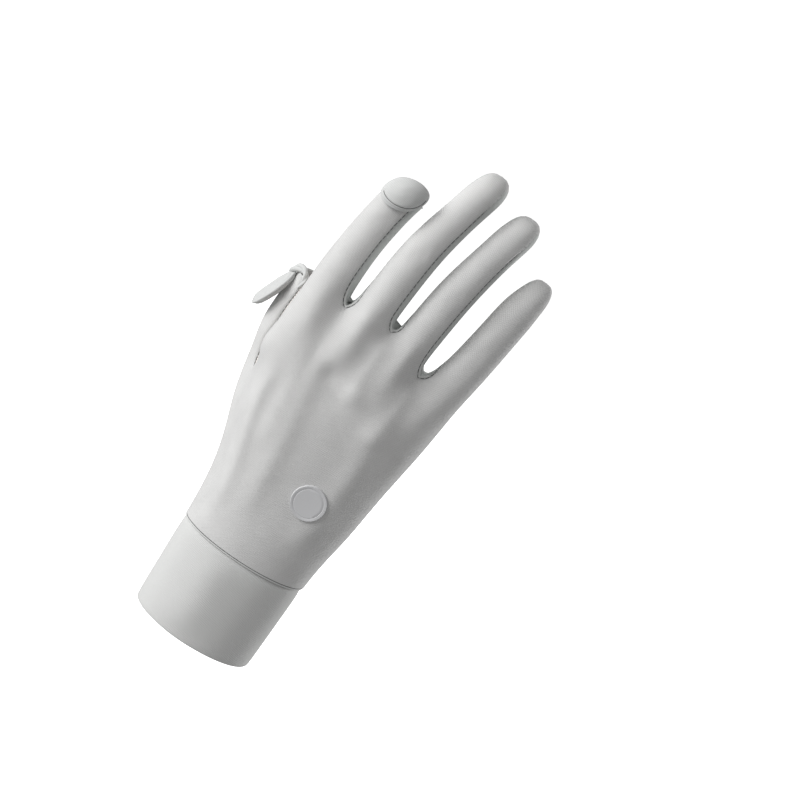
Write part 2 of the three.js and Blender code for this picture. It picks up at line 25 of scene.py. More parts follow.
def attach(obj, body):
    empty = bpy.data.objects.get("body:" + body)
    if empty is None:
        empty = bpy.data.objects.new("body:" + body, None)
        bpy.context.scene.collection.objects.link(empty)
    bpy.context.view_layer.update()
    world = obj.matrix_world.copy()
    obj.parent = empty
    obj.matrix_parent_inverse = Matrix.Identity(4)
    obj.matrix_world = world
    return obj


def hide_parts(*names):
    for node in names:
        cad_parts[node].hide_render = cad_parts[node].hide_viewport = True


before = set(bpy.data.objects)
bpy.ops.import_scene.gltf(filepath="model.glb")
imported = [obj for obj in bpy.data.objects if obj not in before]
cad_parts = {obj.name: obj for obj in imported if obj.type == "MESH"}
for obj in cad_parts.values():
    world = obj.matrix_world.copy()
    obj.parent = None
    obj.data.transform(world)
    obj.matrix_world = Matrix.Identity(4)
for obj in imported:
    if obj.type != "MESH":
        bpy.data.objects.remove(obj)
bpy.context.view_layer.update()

Triple = tuple[float, float, float]
MM = 0.001
WELD = 1e-6
RAY_START = 0.1
QUAD_ANGLE = math.radians(100)
BODY = "root"
CLOTH_MAP = "cloth"
OPEN_RIM = "open"
logging.basicConfig(level=logging.INFO, format="%(message)s")
log = logging.getLogger("sun_glove")


class Cloth(str, Enum):
    """The material slots."""

    BACK = "back_knit"
    PALM = "palm_mesh"
    STRIP = "fourchette_knit"
    CUFF = "cuff_knit"
    CAP = "cap_knit"
    RUBBER = "badge_rubber"


# --------------------------------------------------------------------------------------
# Bench: selecting, editing and applying
# --------------------------------------------------------------------------------------


def deselect_all() -> None:
    """Leaves nothing selected."""
    bpy.ops.object.select_all(action="DESELECT")


def take_up(piece: bpy.types.Object) -> None:
    """Makes a piece the only selected one, and active.

    Args:
        piece: the object that the next operators work on.
    """
    deselect_all()
    piece.select_set(True)
    bpy.context.view_layer.objects.active = piece


@contextmanager
def editing(piece: bpy.types.Object) -> Iterator[bpy.types.Object]:
    """Opens a piece in edit mode, and closes it again.

    Args:
        piece: the object that is edited.

    Returns:
        The same object, while edit mode is open.
    """
    take_up(piece)
    bpy.ops.object.mode_set(mode="EDIT")
    try:
        yield piece
    finally:
        bpy.ops.object.mode_set(mode="OBJECT")


def finish_with(piece: bpy.types.Object, kind: str, **settings: object) -> None:
    """Adds a modifier to a piece and applies it.

    Args:
        piece: the object that the modifier shapes.
        kind: the modifier's type.
        settings: its settings by name.
    """
    modifier = piece.modifiers.new(kind.lower(), kind)
    for name, value in settings.items():
        setattr(modifier, name, value)
    take_up(piece)
    bpy.ops.object.modifier_apply(modifier=modifier.name)


def subdivide(piece: bpy.types.Object, rounds: int) -> None:
    """Smooths a piece by subdivision, with equal levels in view and render."""
    finish_with(piece, "SUBSURF", levels=rounds, render_levels=rounds)


def new_piece(name: str, mesh: bpy.types.ID) -> bpy.types.Object:
    """Puts a mesh, curve, light or camera into the scene as an object at the origin.

    Args:
        name: the object's name.
        mesh: the data that it shows.

    Returns:
        The new object.
    """
    piece = bpy.data.objects.new(name, mesh)
    bpy.context.scene.collection.objects.link(piece)
    return piece


def mesh_from(name: str, places: np.ndarray, faces: Sequence[Sequence[int]]) -> bpy.types.Mesh:
    """Makes a mesh of points and faces.

    Args:
        name: the mesh's name.
        places: one row of three coordinates for each point.
        faces: the points of each face, in order.

    Returns:
        The new mesh.
    """
    mesh = bpy.data.meshes.new(name)
    mesh.from_pydata([tuple(p) for p in places], [], [tuple(f) for f in faces])
    mesh.update()
    return mesh


def node_copy(node: str, name: str) -> bpy.types.Object:
    """Copies a CAD node's mesh, with its doubles merged and its triangles paired to quads.

    Args:
        node: the node that is copied; it stays as it is.
        name: the copy's name.

    Returns:
        The copy.
    """
    piece = new_piece(name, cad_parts[node].data.copy())
    with editing(piece):
        bpy.ops.mesh.select_all(action="SELECT")
        bpy.ops.mesh.remove_doubles(threshold=WELD)
        bpy.ops.mesh.tris_convert_to_quads(face_threshold=QUAD_ANGLE, shape_threshold=QUAD_ANGLE)
    return piece


def face_outwards(piece: bpy.types.Object) -> None:
    """Turns all of a closed piece's faces outwards.

    Args:
        piece: the closed piece.
    """
    with editing(piece):
        bpy.ops.mesh.select_all(action="SELECT")
        bpy.ops.mesh.normals_make_consistent(inside=False)


def rows_of(mesh: bpy.types.Mesh, what: str) -> np.ndarray:
    """Reads three numbers at each of a mesh's points.

    Args:
        mesh: the mesh that is read.
        what: the name of the points' property.

    Returns:
        One row for each point.
    """
    rows = np.empty(len(mesh.vertices) * 3)
    mesh.vertices.foreach_get(what, rows)
    return rows.reshape(-1, 3)


def places_of(mesh: bpy.types.Mesh) -> np.ndarray:
    """The coordinates of a mesh's points, one row each."""
    return rows_of(mesh, "co")


def set_places(mesh: bpy.types.Mesh, places: np.ndarray) -> None:
    """Moves a mesh's points to the given coordinates."""
    mesh.vertices.foreach_set("co", np.asarray(places).ravel())
    mesh.update()


def normals_of(mesh: bpy.types.Mesh) -> np.ndarray:
    """The outward directions at a mesh's points, one row each."""
    return rows_of(mesh, "normal")


def surface_of(mesh: bpy.types.Mesh) -> BVHTree:
    """A mesh's surface, for rays to be cast at."""
    faces = [tuple(face.vertices) for face in mesh.polygons]
    return BVHTree.FromPolygons([vert.co.copy() for vert in mesh.vertices], faces)


def corners_of(mesh: bpy.types.Mesh) -> np.ndarray:
    """The point of each face corner."""
    return np.array([loop.vertex_index for loop in mesh.loops])


def one_material(mesh: bpy.types.Mesh) -> None:
    """Gives every face the mesh's first material."""
    mesh.polygons.foreach_set("material_index", np.zeros(len(mesh.polygons), dtype=np.int32))


def new_map(mesh: bpy.types.Mesh) -> None:
    """Replaces a mesh's UV maps by one empty cloth map.

    Args:
        mesh: the mesh that gets the map.
    """
    for layer in list(mesh.uv_layers):
        mesh.uv_layers.remove(layer)
    mesh.uv_layers.new(name=CLOTH_MAP)


def write_map(mesh: bpy.types.Mesh, flat: np.ndarray) -> None:
    """Writes the cloth map: metres across and along the fabric at each face corner."""
    mesh.uv_layers[CLOTH_MAP].uv.foreach_set("vector", flat.ravel())


def soft_step(values: np.ndarray, low: float, high: float) -> np.ndarray:
    """A smooth step from 0 to 1 between two values."""
    share = np.clip((values - low) / (high - low), 0.0, 1.0)
    return share * share * (3.0 - 2.0 * share)


def smooth_shading(piece: bpy.types.Object, angle: float = 45.0) -> None:
    """Shades a piece smooth, apart from edges sharper than an angle in degrees."""
    take_up(piece)
    bpy.ops.object.shade_smooth_by_angle(angle=math.radians(angle))


def hand_over(piece: bpy.types.Object, slot: Cloth, finish: "Finish", *nodes: str) -> None:
    """Gives a finished piece its material and its body.

    Args:
        piece: the finished object.
        slot: not used.
        finish: the finish that it wears.
        nodes: the CAD nodes that it stands for.
    """
    piece.data.materials.clear()
    piece.data.materials.append(finish.material())
    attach(piece, BODY)
    if nodes:
        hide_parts(*nodes)
    triangles = sum(len(face.vertices) - 2 for face in piece.data.polygons)
    log.info("%-26s %7d triangles, stands for %s", piece.name, triangles, nodes or "-")


# --------------------------------------------------------------------------------------
# Finishes
# --------------------------------------------------------------------------------------


class Graph:
    """A material's node graph, built socket by socket."""

    def __init__(self, material: bpy.types.Material) -> None:
        """Empties the material's graph and gives it a Principled shader.

        Args:
            material: the material that the graph belongs to.
        """
        self.material = material
        material.use_nodes = True
        self.tree = material.node_tree
        self.tree.nodes.clear()
        self.shader = self.add("ShaderNodeBsdfPrincipled")
        output = self.add("ShaderNodeOutputMaterial")
        self.link(self.shader.outputs["BSDF"], output.inputs["Surface"])

    def add(self, kind: str, **settings: object) -> bpy.types.Node:
        """Adds a node and sets its properties.

        Args:
            kind: the node's type.
            settings: its properties by name.

        Returns:
            The new node.
        """
        node = self.tree.nodes.new(kind)
        for name, value in settings.items():
            setattr(node, name, value)
        return node

    def link(self, source: bpy.types.NodeSocket, target: bpy.types.NodeSocket) -> None:
        """Joins an output to an input."""
        self.tree.links.new(source, target)

    def feed(self, node: bpy.types.Node, values: dict) -> bpy.types.Node:
        """Sets or links a node's inputs.

        Args:
            node: the node that is fed.
            values: a number, colour or output socket for each input's name or place.

        Returns:
            The same node.
        """
        for key, value in values.items():
            if isinstance(value, bpy.types.NodeSocket):
                self.link(value, node.inputs[key])
            else:
                node.inputs[key].default_value = value
        return node

    def math(self, operation: str, *values: object) -> bpy.types.NodeSocket:
        """One step of arithmetic on numbers or sockets."""
        node = self.add("ShaderNodeMath", operation=operation)
        return self.feed(node, dict(enumerate(values))).outputs[0]

    def vector(self, operation: str, *values: object) -> bpy.types.Node:
        """One step of vector arithmetic."""
        node = self.add("ShaderNodeVectorMath", operation=operation)
        return self.feed(node, dict(enumerate(values)))

    def cloth_places(self) -> bpy.types.NodeSocket:
        """The piece's own cloth map, in metres along the fabric."""
        return self.add("ShaderNodeUVMap", uv_map=CLOTH_MAP).outputs["UV"]

    def cloth_axes(self) -> tuple[bpy.types.NodeSocket, bpy.types.NodeSocket]:
        """Splits the cloth map.

        Returns:
            The places across and along the fabric.
        """
        split = self.add("ShaderNodeSeparateXYZ")
        self.link(self.cloth_places(), split.inputs[0])
        return split.outputs["X"], split.outputs["Y"]

    def object_places(self) -> bpy.types.NodeSocket:
        """Object coordinates, in metres."""
        return self.add("ShaderNodeTexCoord").outputs["Object"]

    def noise(self, scale: float, detail: float = 2.0) -> bpy.types.NodeSocket:
        """Cloudy noise between 0 and 1 over the piece.

        Args:
            scale: how many clouds there are to a metre.
            detail: how many finer layers the clouds have.

        Returns:
            The noise's socket.
        """
        node = self.add("ShaderNodeTexNoise")
        self.feed(node, {"Vector": self.object_places(), "Scale": scale, "Detail": detail})
        return node.outputs["Fac"]

    def between(self, share: object, low: object, high: object) -> bpy.types.NodeSocket:
        """Mixes two colours.

        Args:
            share: the second colour's share, a number or a socket.
            low: the first colour, as three numbers or a socket.
            high: the second colour, as three numbers or a socket.

        Returns:
            The mixed colour's socket.
        """
        node = self.add("ShaderNodeMix", data_type="RGBA")
        ends = [(*end, 1.0) if isinstance(end, tuple) else end for end in (low, high)]
        return self.feed(node, {"Factor": share, 6: ends[0], 7: ends[1]}).outputs[2]

    def paint(self, colour: bpy.types.NodeSocket) -> None:
        """Gives the shader its colour."""
        self.link(colour, self.shader.inputs["Base Color"])

    def relief(self, height: bpy.types.NodeSocket, depth: float, strength: float = 1.0) -> None:
        """Raises the surface by a height map.

        Args:
            height: the height map's socket.
            depth: how deep the map goes, in metres.
            strength: how much of it shows.
        """
        node = self.add("ShaderNodeBump")
        self.feed(node, {"Height": height, "Distance": depth, "Strength": strength})
        self.link(node.outputs["Normal"], self.shader.inputs["Normal"])


@dataclass(frozen=True)
class Finish:
    """A surface's colour and sheen; the kinds below add their own pattern."""

    name: str
    colour: Triple
    shade: Triple
    roughness: float = 0.85
    sheen: float = 0.25
    sheen_roughness: float = 0.45
    sheen_tint: Triple = (0.95, 0.96, 0.97)
    coat: float = 0.0
    specular: float = 0.25
    clouds: float = 60.0
    cloud_detail: float = 3.0
    grain: float = 2500.0
    grain_depth: float = 0.02 * MM

    def material(self) -> bpy.types.Material:
        """Makes the material, or returns the one that was made before.

        Returns:
            The finish as a Blender material.
        """
        found = bpy.data.materials.get(self.name)
        if found:
            return found
        graph = Graph(bpy.data.materials.new(self.name))
        graph.feed(graph.shader, {
            "Roughness": self.roughness,
            "Sheen Weight": self.sheen,
            "Sheen Roughness": self.sheen_roughness,
            "Sheen Tint": (*self.sheen_tint, 1.0),
            "Coat Weight": self.coat,
            "Specular IOR Level": self.specular,
        })
        self.pattern(graph)
        return graph.material

    def pattern(self, graph: Graph) -> None:
        """Clouds the colour a little, with a fine grain.

        Args:
            graph: the material's graph.
        """
        graph.paint(self.clouded(graph))
        graph.relief(graph.noise(self.grain), self.grain_depth)

    def clouded(self, graph: Graph) -> bpy.types.NodeSocket:
        """The finish's colour, clouded with its shade."""
        return graph.between(graph.noise(self.clouds, self.cloud_detail), self.shade, self.colour)


@dataclass(frozen=True)
class JerseyFinish(Finish):
    """Fine single jersey: columns of small V stitches."""

    wale: float = 0.95 * MM
    course: float = 0.72 * MM
    slant: float = 0.9
    depth: float = 0.15 * MM
    strength: float = 0.8
    rib_part: float = 0.55
    loop_part: float = 0.45
    clouds: float = 42.0
    cloud_detail: float = 2.0
    # The gap settings set the painted shade in the gaps between stitches: its patches, how uneven
    # it is, its least share and its darkness.
    gap_clouds: float = 95.0
    gap_uneven: float = 0.7
    gap_least: float = 0.02
    painted_gap_shade: float = 0.5

    def pattern(self, graph: Graph) -> None:
        """Draws the stitch columns as relief, with painted shade darkening the gaps between them.

        Args:
            graph: the material's graph.
        """
        across, along = graph.cloth_axes()
        leg = graph.math("PINGPONG", graph.math("DIVIDE", across, self.wale), 0.5)
        course = graph.math("DIVIDE", along, self.course)
        row = graph.math("MULTIPLY_ADD", leg, self.slant, course)
        wave = graph.math("COSINE", graph.math("MULTIPLY", row, math.tau))
        loops = graph.math("MULTIPLY_ADD", wave, 0.5, 0.5)
        ribs = graph.math("SINE", graph.math("MULTIPLY", leg, math.tau))
        raised = graph.math("MULTIPLY", loops, self.loop_part)
        height = graph.math("MULTIPLY_ADD", ribs, self.rib_part, raised)
        patches = graph.noise(self.gap_clouds)
        uneven = graph.math("MULTIPLY_ADD", patches, self.gap_uneven, self.gap_least)
        # Painted shade: the low places between the stitches are mixed towards a dark copy of the
        # shade colour.
        gaps = graph.math("MULTIPLY", graph.math("SUBTRACT", 1.0, height), uneven)
        dark = tuple(self.painted_gap_shade * part for part in self.shade)
        graph.paint(graph.between(gaps, self.clouded(graph), dark))
        graph.relief(height, self.depth, self.strength)


@dataclass(frozen=True)
class MeshFinish(Finish):
    """Open mesh: a honeycomb of small holes, with painted shade in them."""

    pitch: float = 1.05 * MM
    hole: float = 0.23 * MM
    edge: float = 0.18 * MM
    # Painted shade: the holes' dark colour stands in for the shade inside the glove seen through
    # them.
    dark: Triple = (0.30, 0.26, 0.235)
    hole_shade_share: float = 0.8
    depth: float = 0.16 * MM
    strength: float = 0.9
    clouds: float = 38.0
    cloud_detail: float = 2.0

    def pattern(self, graph: Graph) -> None:
        """Draws the holes on two grids, one half a pitch off the other, and fills them with painted
        shade.

        Args:
            graph: the material's graph.
        """
        places = graph.cloth_places()
        size = (self.pitch, self.pitch * math.sqrt(3), 1.0)
        cells = graph.vector("DIVIDE", places, size).outputs[0]
        nearest = []
        for shift in (0.0, 0.5):
            moved = graph.vector("ADD", cells, (shift, shift, 0.0)).outputs[0]
            part = graph.vector("FRACTION", moved).outputs[0]
            centred = graph.vector("SUBTRACT", part, (0.5, 0.5, 0.0)).outputs[0]
            flat = graph.vector("MULTIPLY", centred, (size[0], size[1], 0.0)).outputs[0]
            nearest.append(graph.vector("LENGTH", flat).outputs["Value"])
        distance = graph.math("MINIMUM", *nearest)
        ramp = graph.add("ShaderNodeMapRange", interpolation_type="SMOOTHSTEP")
        graph.feed(ramp, {0: distance, 1: self.hole, 2: self.hole + self.edge})
        solid = ramp.outputs[0]
        # Painted shade in the holes.
        holes = graph.math("MULTIPLY", graph.math("SUBTRACT", 1.0, solid), self.hole_shade_share)
        graph.paint(graph.between(holes, self.clouded(graph), self.dark))
        graph.relief(solid, self.depth, self.strength)


@dataclass(frozen=True)
class RibFinish(Finish):
    """Fine upright ribs, as on the double cuff."""

    rib: float = 0.62 * MM
    depth: float = 0.12 * MM
    strength: float = 0.7
    grain: float = 1600.0
    grain_part: float = 0.5
    clouds: float = 45.0
    cloud_detail: float = 2.0

    def pattern(self, graph: Graph) -> None:
        """Draws the ribs along the piece's own map, with a fine grain across them.

        Args:
            graph: the material's graph.
        """
        across = graph.math("DIVIDE", graph.cloth_axes()[0], self.rib)
        wave = graph.math("SINE", graph.math("MULTIPLY", across, math.tau))
        ribs = graph.math("MULTIPLY_ADD", wave, 0.5, 0.5)
        height = graph.math("MULTIPLY_ADD", graph.noise(self.grain), self.grain_part, ribs)
        graph.paint(self.clouded(graph))
        graph.relief(height, self.depth, self.strength)


@dataclass(frozen=True)
class ThreadFinish(Finish):
    """Sewing thread: a fine twist."""

    twist: float = 1900.0
    depth: float = 0.03 * MM
    strength: float = 0.6

    def pattern(self, graph: Graph) -> None:
        """Bands the thread with a slanting twist.

        Args:
            graph: the material's graph.
        """
        node = graph.add("ShaderNodeTexWave", wave_type="BANDS", bands_direction="DIAGONAL")
        graph.feed(node, {"Vector": graph.object_places(), "Scale": self.twist, "Distortion": 1.0})
        wave = node.outputs["Fac"]
        graph.paint(graph.between(wave, self.shade, self.colour))
        graph.relief(wave, self.depth, self.strength)


# Linear colours of the glove's finishes
BACK_KNIT = JerseyFinish("back_jersey", (0.700, 0.698, 0.692), (0.655, 0.654, 0.648))
PALM_MESH = MeshFinish("palm_honeycomb", (0.850, 0.822, 0.790), (0.800, 0.770, 0.738))
STRIP_KNIT = JerseyFinish("strip_jersey", (0.640, 0.660, 0.645), (0.600, 0.620, 0.605))
CUFF_KNIT = RibFinish("cuff_rib", (0.640, 0.643, 0.635), (0.605, 0.608, 0.600))
CAP_KNIT = JerseyFinish("cap_jersey", (0.690, 0.698, 0.692), (0.640, 0.648, 0.642))
PIPING = ThreadFinish("pale_piping", (0.700, 0.705, 0.690), (0.560, 0.570, 0.560))
# Dark cord colour: the seam thread, and painted shade in the seam grooves and under the index cap.
SEAM_THREAD_AND_SHADE = ThreadFinish("dark_seam", (0.150, 0.155, 0.152), (0.090, 0.094, 0.092), sheen=0.0)
BRIDGE_THREAD = ThreadFinish("bridge_stitch", (0.560, 0.565, 0.560), (0.440, 0.450, 0.445))
CAP_KNIT_PLAIN = Finish("cap_hem", (0.600, 0.610, 0.604), (0.550, 0.560, 0.555))
CUFF_PLAIN = Finish("cuff_welt", (0.640, 0.644, 0.636), (0.600, 0.605, 0.597))
BADGE_RUBBER = Finish(
    "badge_rubber_grey", (0.610, 0.612, 0.622), (0.575, 0.577, 0.588), roughness=0.5, sheen=0.0)
GRIP_SILICONE = Finish(
    "grip_silicone", (0.930, 0.925, 0.915), (0.890, 0.880, 0.865),
    roughness=0.35, sheen=0.0, coat=0.3)


# --------------------------------------------------------------------------------------
# Cloth shell
# --------------------------------------------------------------------------------------


@dataclass
class Seam:
    """A line on the shell where two panels meet, or a panel's open edge."""

    first: str
    second: str
    places: np.ndarray
    normals: np.ndarray
    sides: dict[str, np.ndarray]

    def run(self) -> np.ndarray:
        """The distance of each point from the line's start."""
        steps = np.linalg.norm(np.diff(self.places, axis=0), axis=1)
        return np.concatenate([[0.0], np.cumsum(steps)])

    def stations(self, pitch: float, start: float = 0.0) -> np.ndarray:
        """Even places along the line, as fractions of its points' index.

        Args:
            pitch: the distance from one place to the next.
            start: the distance of the first place from the line's start.

        Returns:
            One number for each place.
        """
        run = self.run()
        return np.interp(np.arange(start, run[-1], pitch), run, np.arange(len(run)))

    def at(self, values: np.ndarray, where: np.ndarray) -> np.ndarray:
        """Rows of values taken at fractions of the points' index."""
        whole = np.arange(len(values))
        return np.stack([np.interp(where, whole, values[:, axis]) for axis in range(3)], 1)

    def part(self, keep: np.ndarray) -> "Seam":
        """The points that a mask keeps, as a shorter line."""
        sides = {name: values[keep] for name, values in self.sides.items()}
        return Seam(self.first, self.second, self.places[keep], self.normals[keep], sides)

    def near(self, index: int, reach: float) -> "Seam":
        """The part of the line within a distance of one of its points."""
        run = self.run()
        return self.part(np.abs(run - run[index]) <= reach)


@dataclass(frozen=True)
class Fold:
    """A long soft hill or dent of the cloth along a path, in millimetres.

    A path of x and z lies on the glove's back; a path of x, y and z lies where it is.
    """

    path: tuple[tuple[float, ...], ...]
    width: float
    height: float
    fade: float = 0.22

    def heights(self, places: np.ndarray, normals: np.ndarray) -> np.ndarray:
        """How far each place is raised, in metres.

        Args:
            places: one row of coordinates for each place.
            normals: the cloth's direction at each place.

        Returns:
            One height for each place.
        """
        knots = np.array(self.path) * MM
        flat = knots.shape[1] == 2
        spots = places[:, [0, 2]] if flat else places
        facing = soft_step(-normals[:, 1], 0.0, 0.5) if flat else 1.0
        best = np.linalg.norm(spots - knots[0], axis=1)
        fade = 1.0
        if len(knots) > 1:
            steps = np.linalg.norm(np.diff(knots, axis=0), axis=1)
            run = np.concatenate([[0.0], np.cumsum(steps)]) / steps.sum()
            where = np.zeros(len(places))
            for index, (start, end) in enumerate(zip(knots[:-1], knots[1:])):
                line = end - start
                share = np.clip(((spots - start) @ line) / float(line @ line), 0.0, 1.0)
                away = np.linalg.norm(spots - start - share[:, None] * line, axis=1)
                nearer = away < best
                best = np.where(nearer, away, best)
                passed = run[index] + share * (run[index + 1] - run[index])
                where = np.where(nearer, passed, where)
            fade = soft_step(np.minimum(where, 1.0 - where), -self.fade * 0.3, self.fade)
        return self.height * MM * fade * facing * np.exp(-(best / (self.width * MM)) ** 2)


@dataclass(frozen=True)
class FingerForm:
    """One finger's middle line, its seams and how full its tip is, in millimetres and degrees."""

    line: tuple[Triple, ...]
    seam_at: float
    seam_to: float
    root: float
    tip: Triple
    full: float = 0.0
    full_side: float = 0.0
    reach: float = 11.5
    first: float = 0.0
    last: float = 180.0
    calm_top: float = 9.0
    calm_root: tuple[float, float] = (1.0, 12.0)
    least_turn: float = 0.05
    fill_reach: float = 9.0

    def middle(self, height: np.ndarray) -> list[np.ndarray]:
        """The middle line's x and y at heights, in metres."""
        knots = np.array(self.line) * MM
        return [np.interp(height, knots[:, 2], knots[:, axis]) for axis in (0, 1)]

    def slide(self, places: np.ndarray, tree: BVHTree) -> np.ndarray:
        """Slides the cloth round the finger, so that its side seam runs where it is sewn.

        Args:
            places: one row of coordinates for each place of the shell.
            tree: the shell's surface, which the places stay on.

        Returns:
            The moved places.
        """
        if self.seam_to == self.seam_at:
            return places
        top = self.line[-1][2] * MM
        x, y = self.middle(places[:, 2])
        across, deep = places[:, 0] - x, places[:, 1] - y
        angle = np.degrees(np.arctan2(-across, -deep))
        side = (angle > self.first) & (angle < self.last)
        side = side & (np.hypot(across, deep) < self.reach * MM)
        bump = np.where(
            angle < self.seam_at,
            soft_step(angle, self.first, self.seam_at),
            1.0 - soft_step(angle, self.seam_at, self.last))
        low, high = ((self.root + rise) * MM for rise in self.calm_root)
        up = soft_step(places[:, 2], low, high)
        calm = self.calm_top * MM
        up = up * (1.0 - soft_step(places[:, 2], top - calm, top - calm / 9.0))
        turn = np.where(side, (self.seam_to - self.seam_at) * bump * up, 0.0)
        moved = places.copy()
        for index in np.nonzero(np.abs(turn) > self.least_turn)[0]:
            aim = math.radians(angle[index] + turn[index])
            ray = Vector((-math.sin(aim), -math.cos(aim), 0.0))
            middle = Vector((x[index], y[index], places[index, 2]))
            hit = tree.ray_cast(middle, ray, self.reach * MM)
            if hit[0] is not None:
                moved[index] = hit[0]
        return moved

    def fill(self, places: np.ndarray, normals: np.ndarray) -> np.ndarray:
        """How far each place is pushed out round the tip.

        Args:
            places: one row of coordinates for each place of the shell.
            normals: the cloth's direction at each place.

        Returns:
            One distance in metres for each place.
        """
        away = np.linalg.norm(places - np.array(self.tip) * MM, axis=1)
        amount = self.full + self.full_side * np.clip(normals[:, 0], 0.0, 1.0)
        return amount * MM * np.exp(-(away / (self.fill_reach * MM)) ** 2)


@dataclass(frozen=True)
class Web:
    """The web between two fingers: its palm side lies as low as its back side."""

    x: float
    y: float
    z: float
    drop: float = 5.6
    depth: float = 14.0
    rise: float = 7.0
    spread: float = 9.0
    lean: float = 0.8
    flatness: float = 0.9
    deepest: float = 1.15
    curve: float = 1.1

    def lowered(self, places: np.ndarray) -> np.ndarray:
        """How far each place is lowered, in metres.

        Args:
            places: one row of coordinates for each place.

        Returns:
            One drop for each place.
        """
        x, y, z = (places / MM).T
        deep = np.clip((y - self.y) / self.depth, 0.0, self.deepest)
        level = self.z + self.rise * deep
        away = np.hypot(x - self.x - self.lean * deep, (z - level) * self.flatness)
        return self.drop * MM * deep ** self.curve * np.exp(-(away / self.spread) ** 2)


@dataclass(frozen=True)
class FingerEnd:
    """The open end of the index finger, in millimetres, and its leaning frame."""

    low: Triple = (-25.0, 3.2, 195.0)
    high: Triple = (-23.3, 4.6, 203.5)
    radius: float = 8.1
    slant_from: float = 188.0
    slant_over: float = 16.0
    slant_most: float = 1.3
    slant_drop: float = 3.0
    slant_reach: float = 13.0
    rim_drop: float = 2.4

    def axis(self) -> Vector:
        """The direction that the finger points in."""
        return (Vector(self.high) - Vector(self.low)).normalized()

    def across(self) -> Vector:
        """The direction across the finger, to the little finger's side."""
        return self.axis().cross(Vector((0.0, -1.0, 0.0))).normalized()

    def back(self) -> Vector:
        """The direction out of the back of the finger."""
        return self.across().cross(self.axis()).normalized()

    def slant(self, places: np.ndarray) -> np.ndarray:
        """Lowers the palm side of the open rim.

        Args:
            places: one row of coordinates for each place of the shell.

        Returns:
            The moved places.
        """
        low = np.array(self.low)
        near = np.linalg.norm(places[:, :2] / MM - low[:2], axis=1) < self.slant_reach
        rise = (places[:, 2] / MM - self.slant_from) / self.slant_over
        rise = np.clip(rise, 0.0, self.slant_most)
        palm = np.clip(0.5 + (places[:, 1] / MM - self.low[1]) / (2 * self.radius), 0.0, 1.0)
        drop = (self.rim_drop + self.slant_drop * palm) * MM * rise ** 2
        moved = places.copy()
        moved[:, 2] -= np.where(near, drop, 0.0)
        return moved


INDEX_END = FingerEnd()
THUMB = FingerForm(
    ((-33.9, 20.0, 113.0), (-35.4, 20.8, 124.0), (-35.7, 20.6, 136.0), (-35.4, 19.8, 146.5)),
    seam_at=29.0, seam_to=20.0, root=114.0, tip=(0.0, 0.0, 0.0),
    reach=10.8, first=-85.0, last=150.0, calm_top=5.0)
WEBS = (Web(-19.1, -6.4, 149.6), Web(0.9, -6.8, 151.8, drop=6.4), Web(19.6, -4.2, 141.3))
# The middle, ring and little fingers
FINGERS = (
    FingerForm(
        ((-8.9, -3.2, 152.0), (-8.1, -2.6, 160.0), (-6.9, -1.2, 175.0), (-4.8, 0.8, 190.0),
         (-1.4, 3.2, 204.0), (1.5, 5.4, 216.0), (4.2, 7.4, 226.0)),
        seam_at=58.0, seam_to=86.0, root=152.5, tip=(4.0, 6.5, 221.0), full=1.0, full_side=1.0),
    FingerForm(
        ((11.0, -1.2, 148.5), (11.6, -0.4, 156.5), (13.3, 1.2, 170.0), (15.6, 3.4, 184.0),
         (18.8, 6.2, 198.0), (21.5, 8.6, 209.0), (24.0, 10.7, 218.0)),
        seam_at=54.0, seam_to=84.0, root=152.5, tip=(23.5, 9.5, 213.0), full=1.05, full_side=0.8),
    FingerForm(
        ((31.0, 3.8, 140.5), (33.2, 4.8, 148.5), (35.7, 6.8, 161.0), (37.6, 9.0, 174.0),
         (39.3, 11.4, 186.0), (42.0, 14.4, 199.0)),
        seam_at=48.0, seam_to=82.0, root=143.0, tip=(42.0, 13.0, 194.0), full=0.95, full_side=0.4),
)
# The cuff's one upright swell, under the stretched line of the back
CUFF_FOLDS = (Fold(((-5.5, 41.0), (-4.0, 3.0)), 8.5, 1.3, fade=0.30),)
FOLDS = (
    # Dents at the finger joints
    Fold(((-29.5, -8.0, 186.0), (-21.5, -6.0, 191.0)), 2.4, -0.35),
    Fold(((-9.5, -6.0, 183.0), (-3.0, -7.5, 186.0)), 3.2, -0.55),
    Fold(((12.0, -6.0, 176.0), (18.5, -5.0, 178.5)), 3.0, -0.30),
    Fold(((31.0, -2.0, 163.0), (37.0, -1.0, 165.0)), 2.8, -0.30),
    # The stretched line from the first gap to the wrist, with the planes beside it
    Fold(
        ((-18.0, 146.0), (-15.8, 132.6), (-14.2, 118.0), (-12.5, 104.0), (-10.0, 85.0),
         (-7.8, 60.0)), 4.8, 1.15),
    Fold(((-23.2, 142.0), (-22.0, 126.0), (-19.5, 104.0), (-17.0, 82.0)), 4.2, 0.85),
    # Dents and swells over the knuckles
    Fold(((-9.8, 125.6),), 4.0, -1.05),
    Fold(((6.4, 126.8),), 4.5, -0.35),
    Fold(((-1.8, 131.0),), 4.0, 0.40),
    # The valleys under the other two gaps, filled by the stretched cloth
    Fold(((1.4, 150.0), (2.2, 136.0), (3.0, 118.0)), 5.0, 2.1),
    Fold(((20.0, 139.0), (19.4, 126.0), (18.5, 108.0)), 5.2, 1.9),
    # The ridge where the back turns to the outer side of the palm
    Fold(((19.5, 116.0), (20.5, 98.0), (19.5, 76.0), (17.0, 56.0)), 6.0, 1.6, fade=0.30),
    # The ridge along the back of the little finger
    Fold(((36.4, 176.0), (32.0, 160.0), (28.6, 147.0)), 3.0, 0.55, fade=0.30),
    # The thumb's outer side, under its cap
    Fold(((-43.5, 17.0, 110.0), (-44.8, 18.0, 127.0), (-43.8, 17.0, 145.0)), 9.0, 1.5, 0.42),
)


@dataclass(frozen=True)
class Panel:
    """One cloth panel of the shell."""

    node: str
    slot: Cloth
    finish: Finish
    faces_gap: bool = False
    fold_limit: float = 60.0


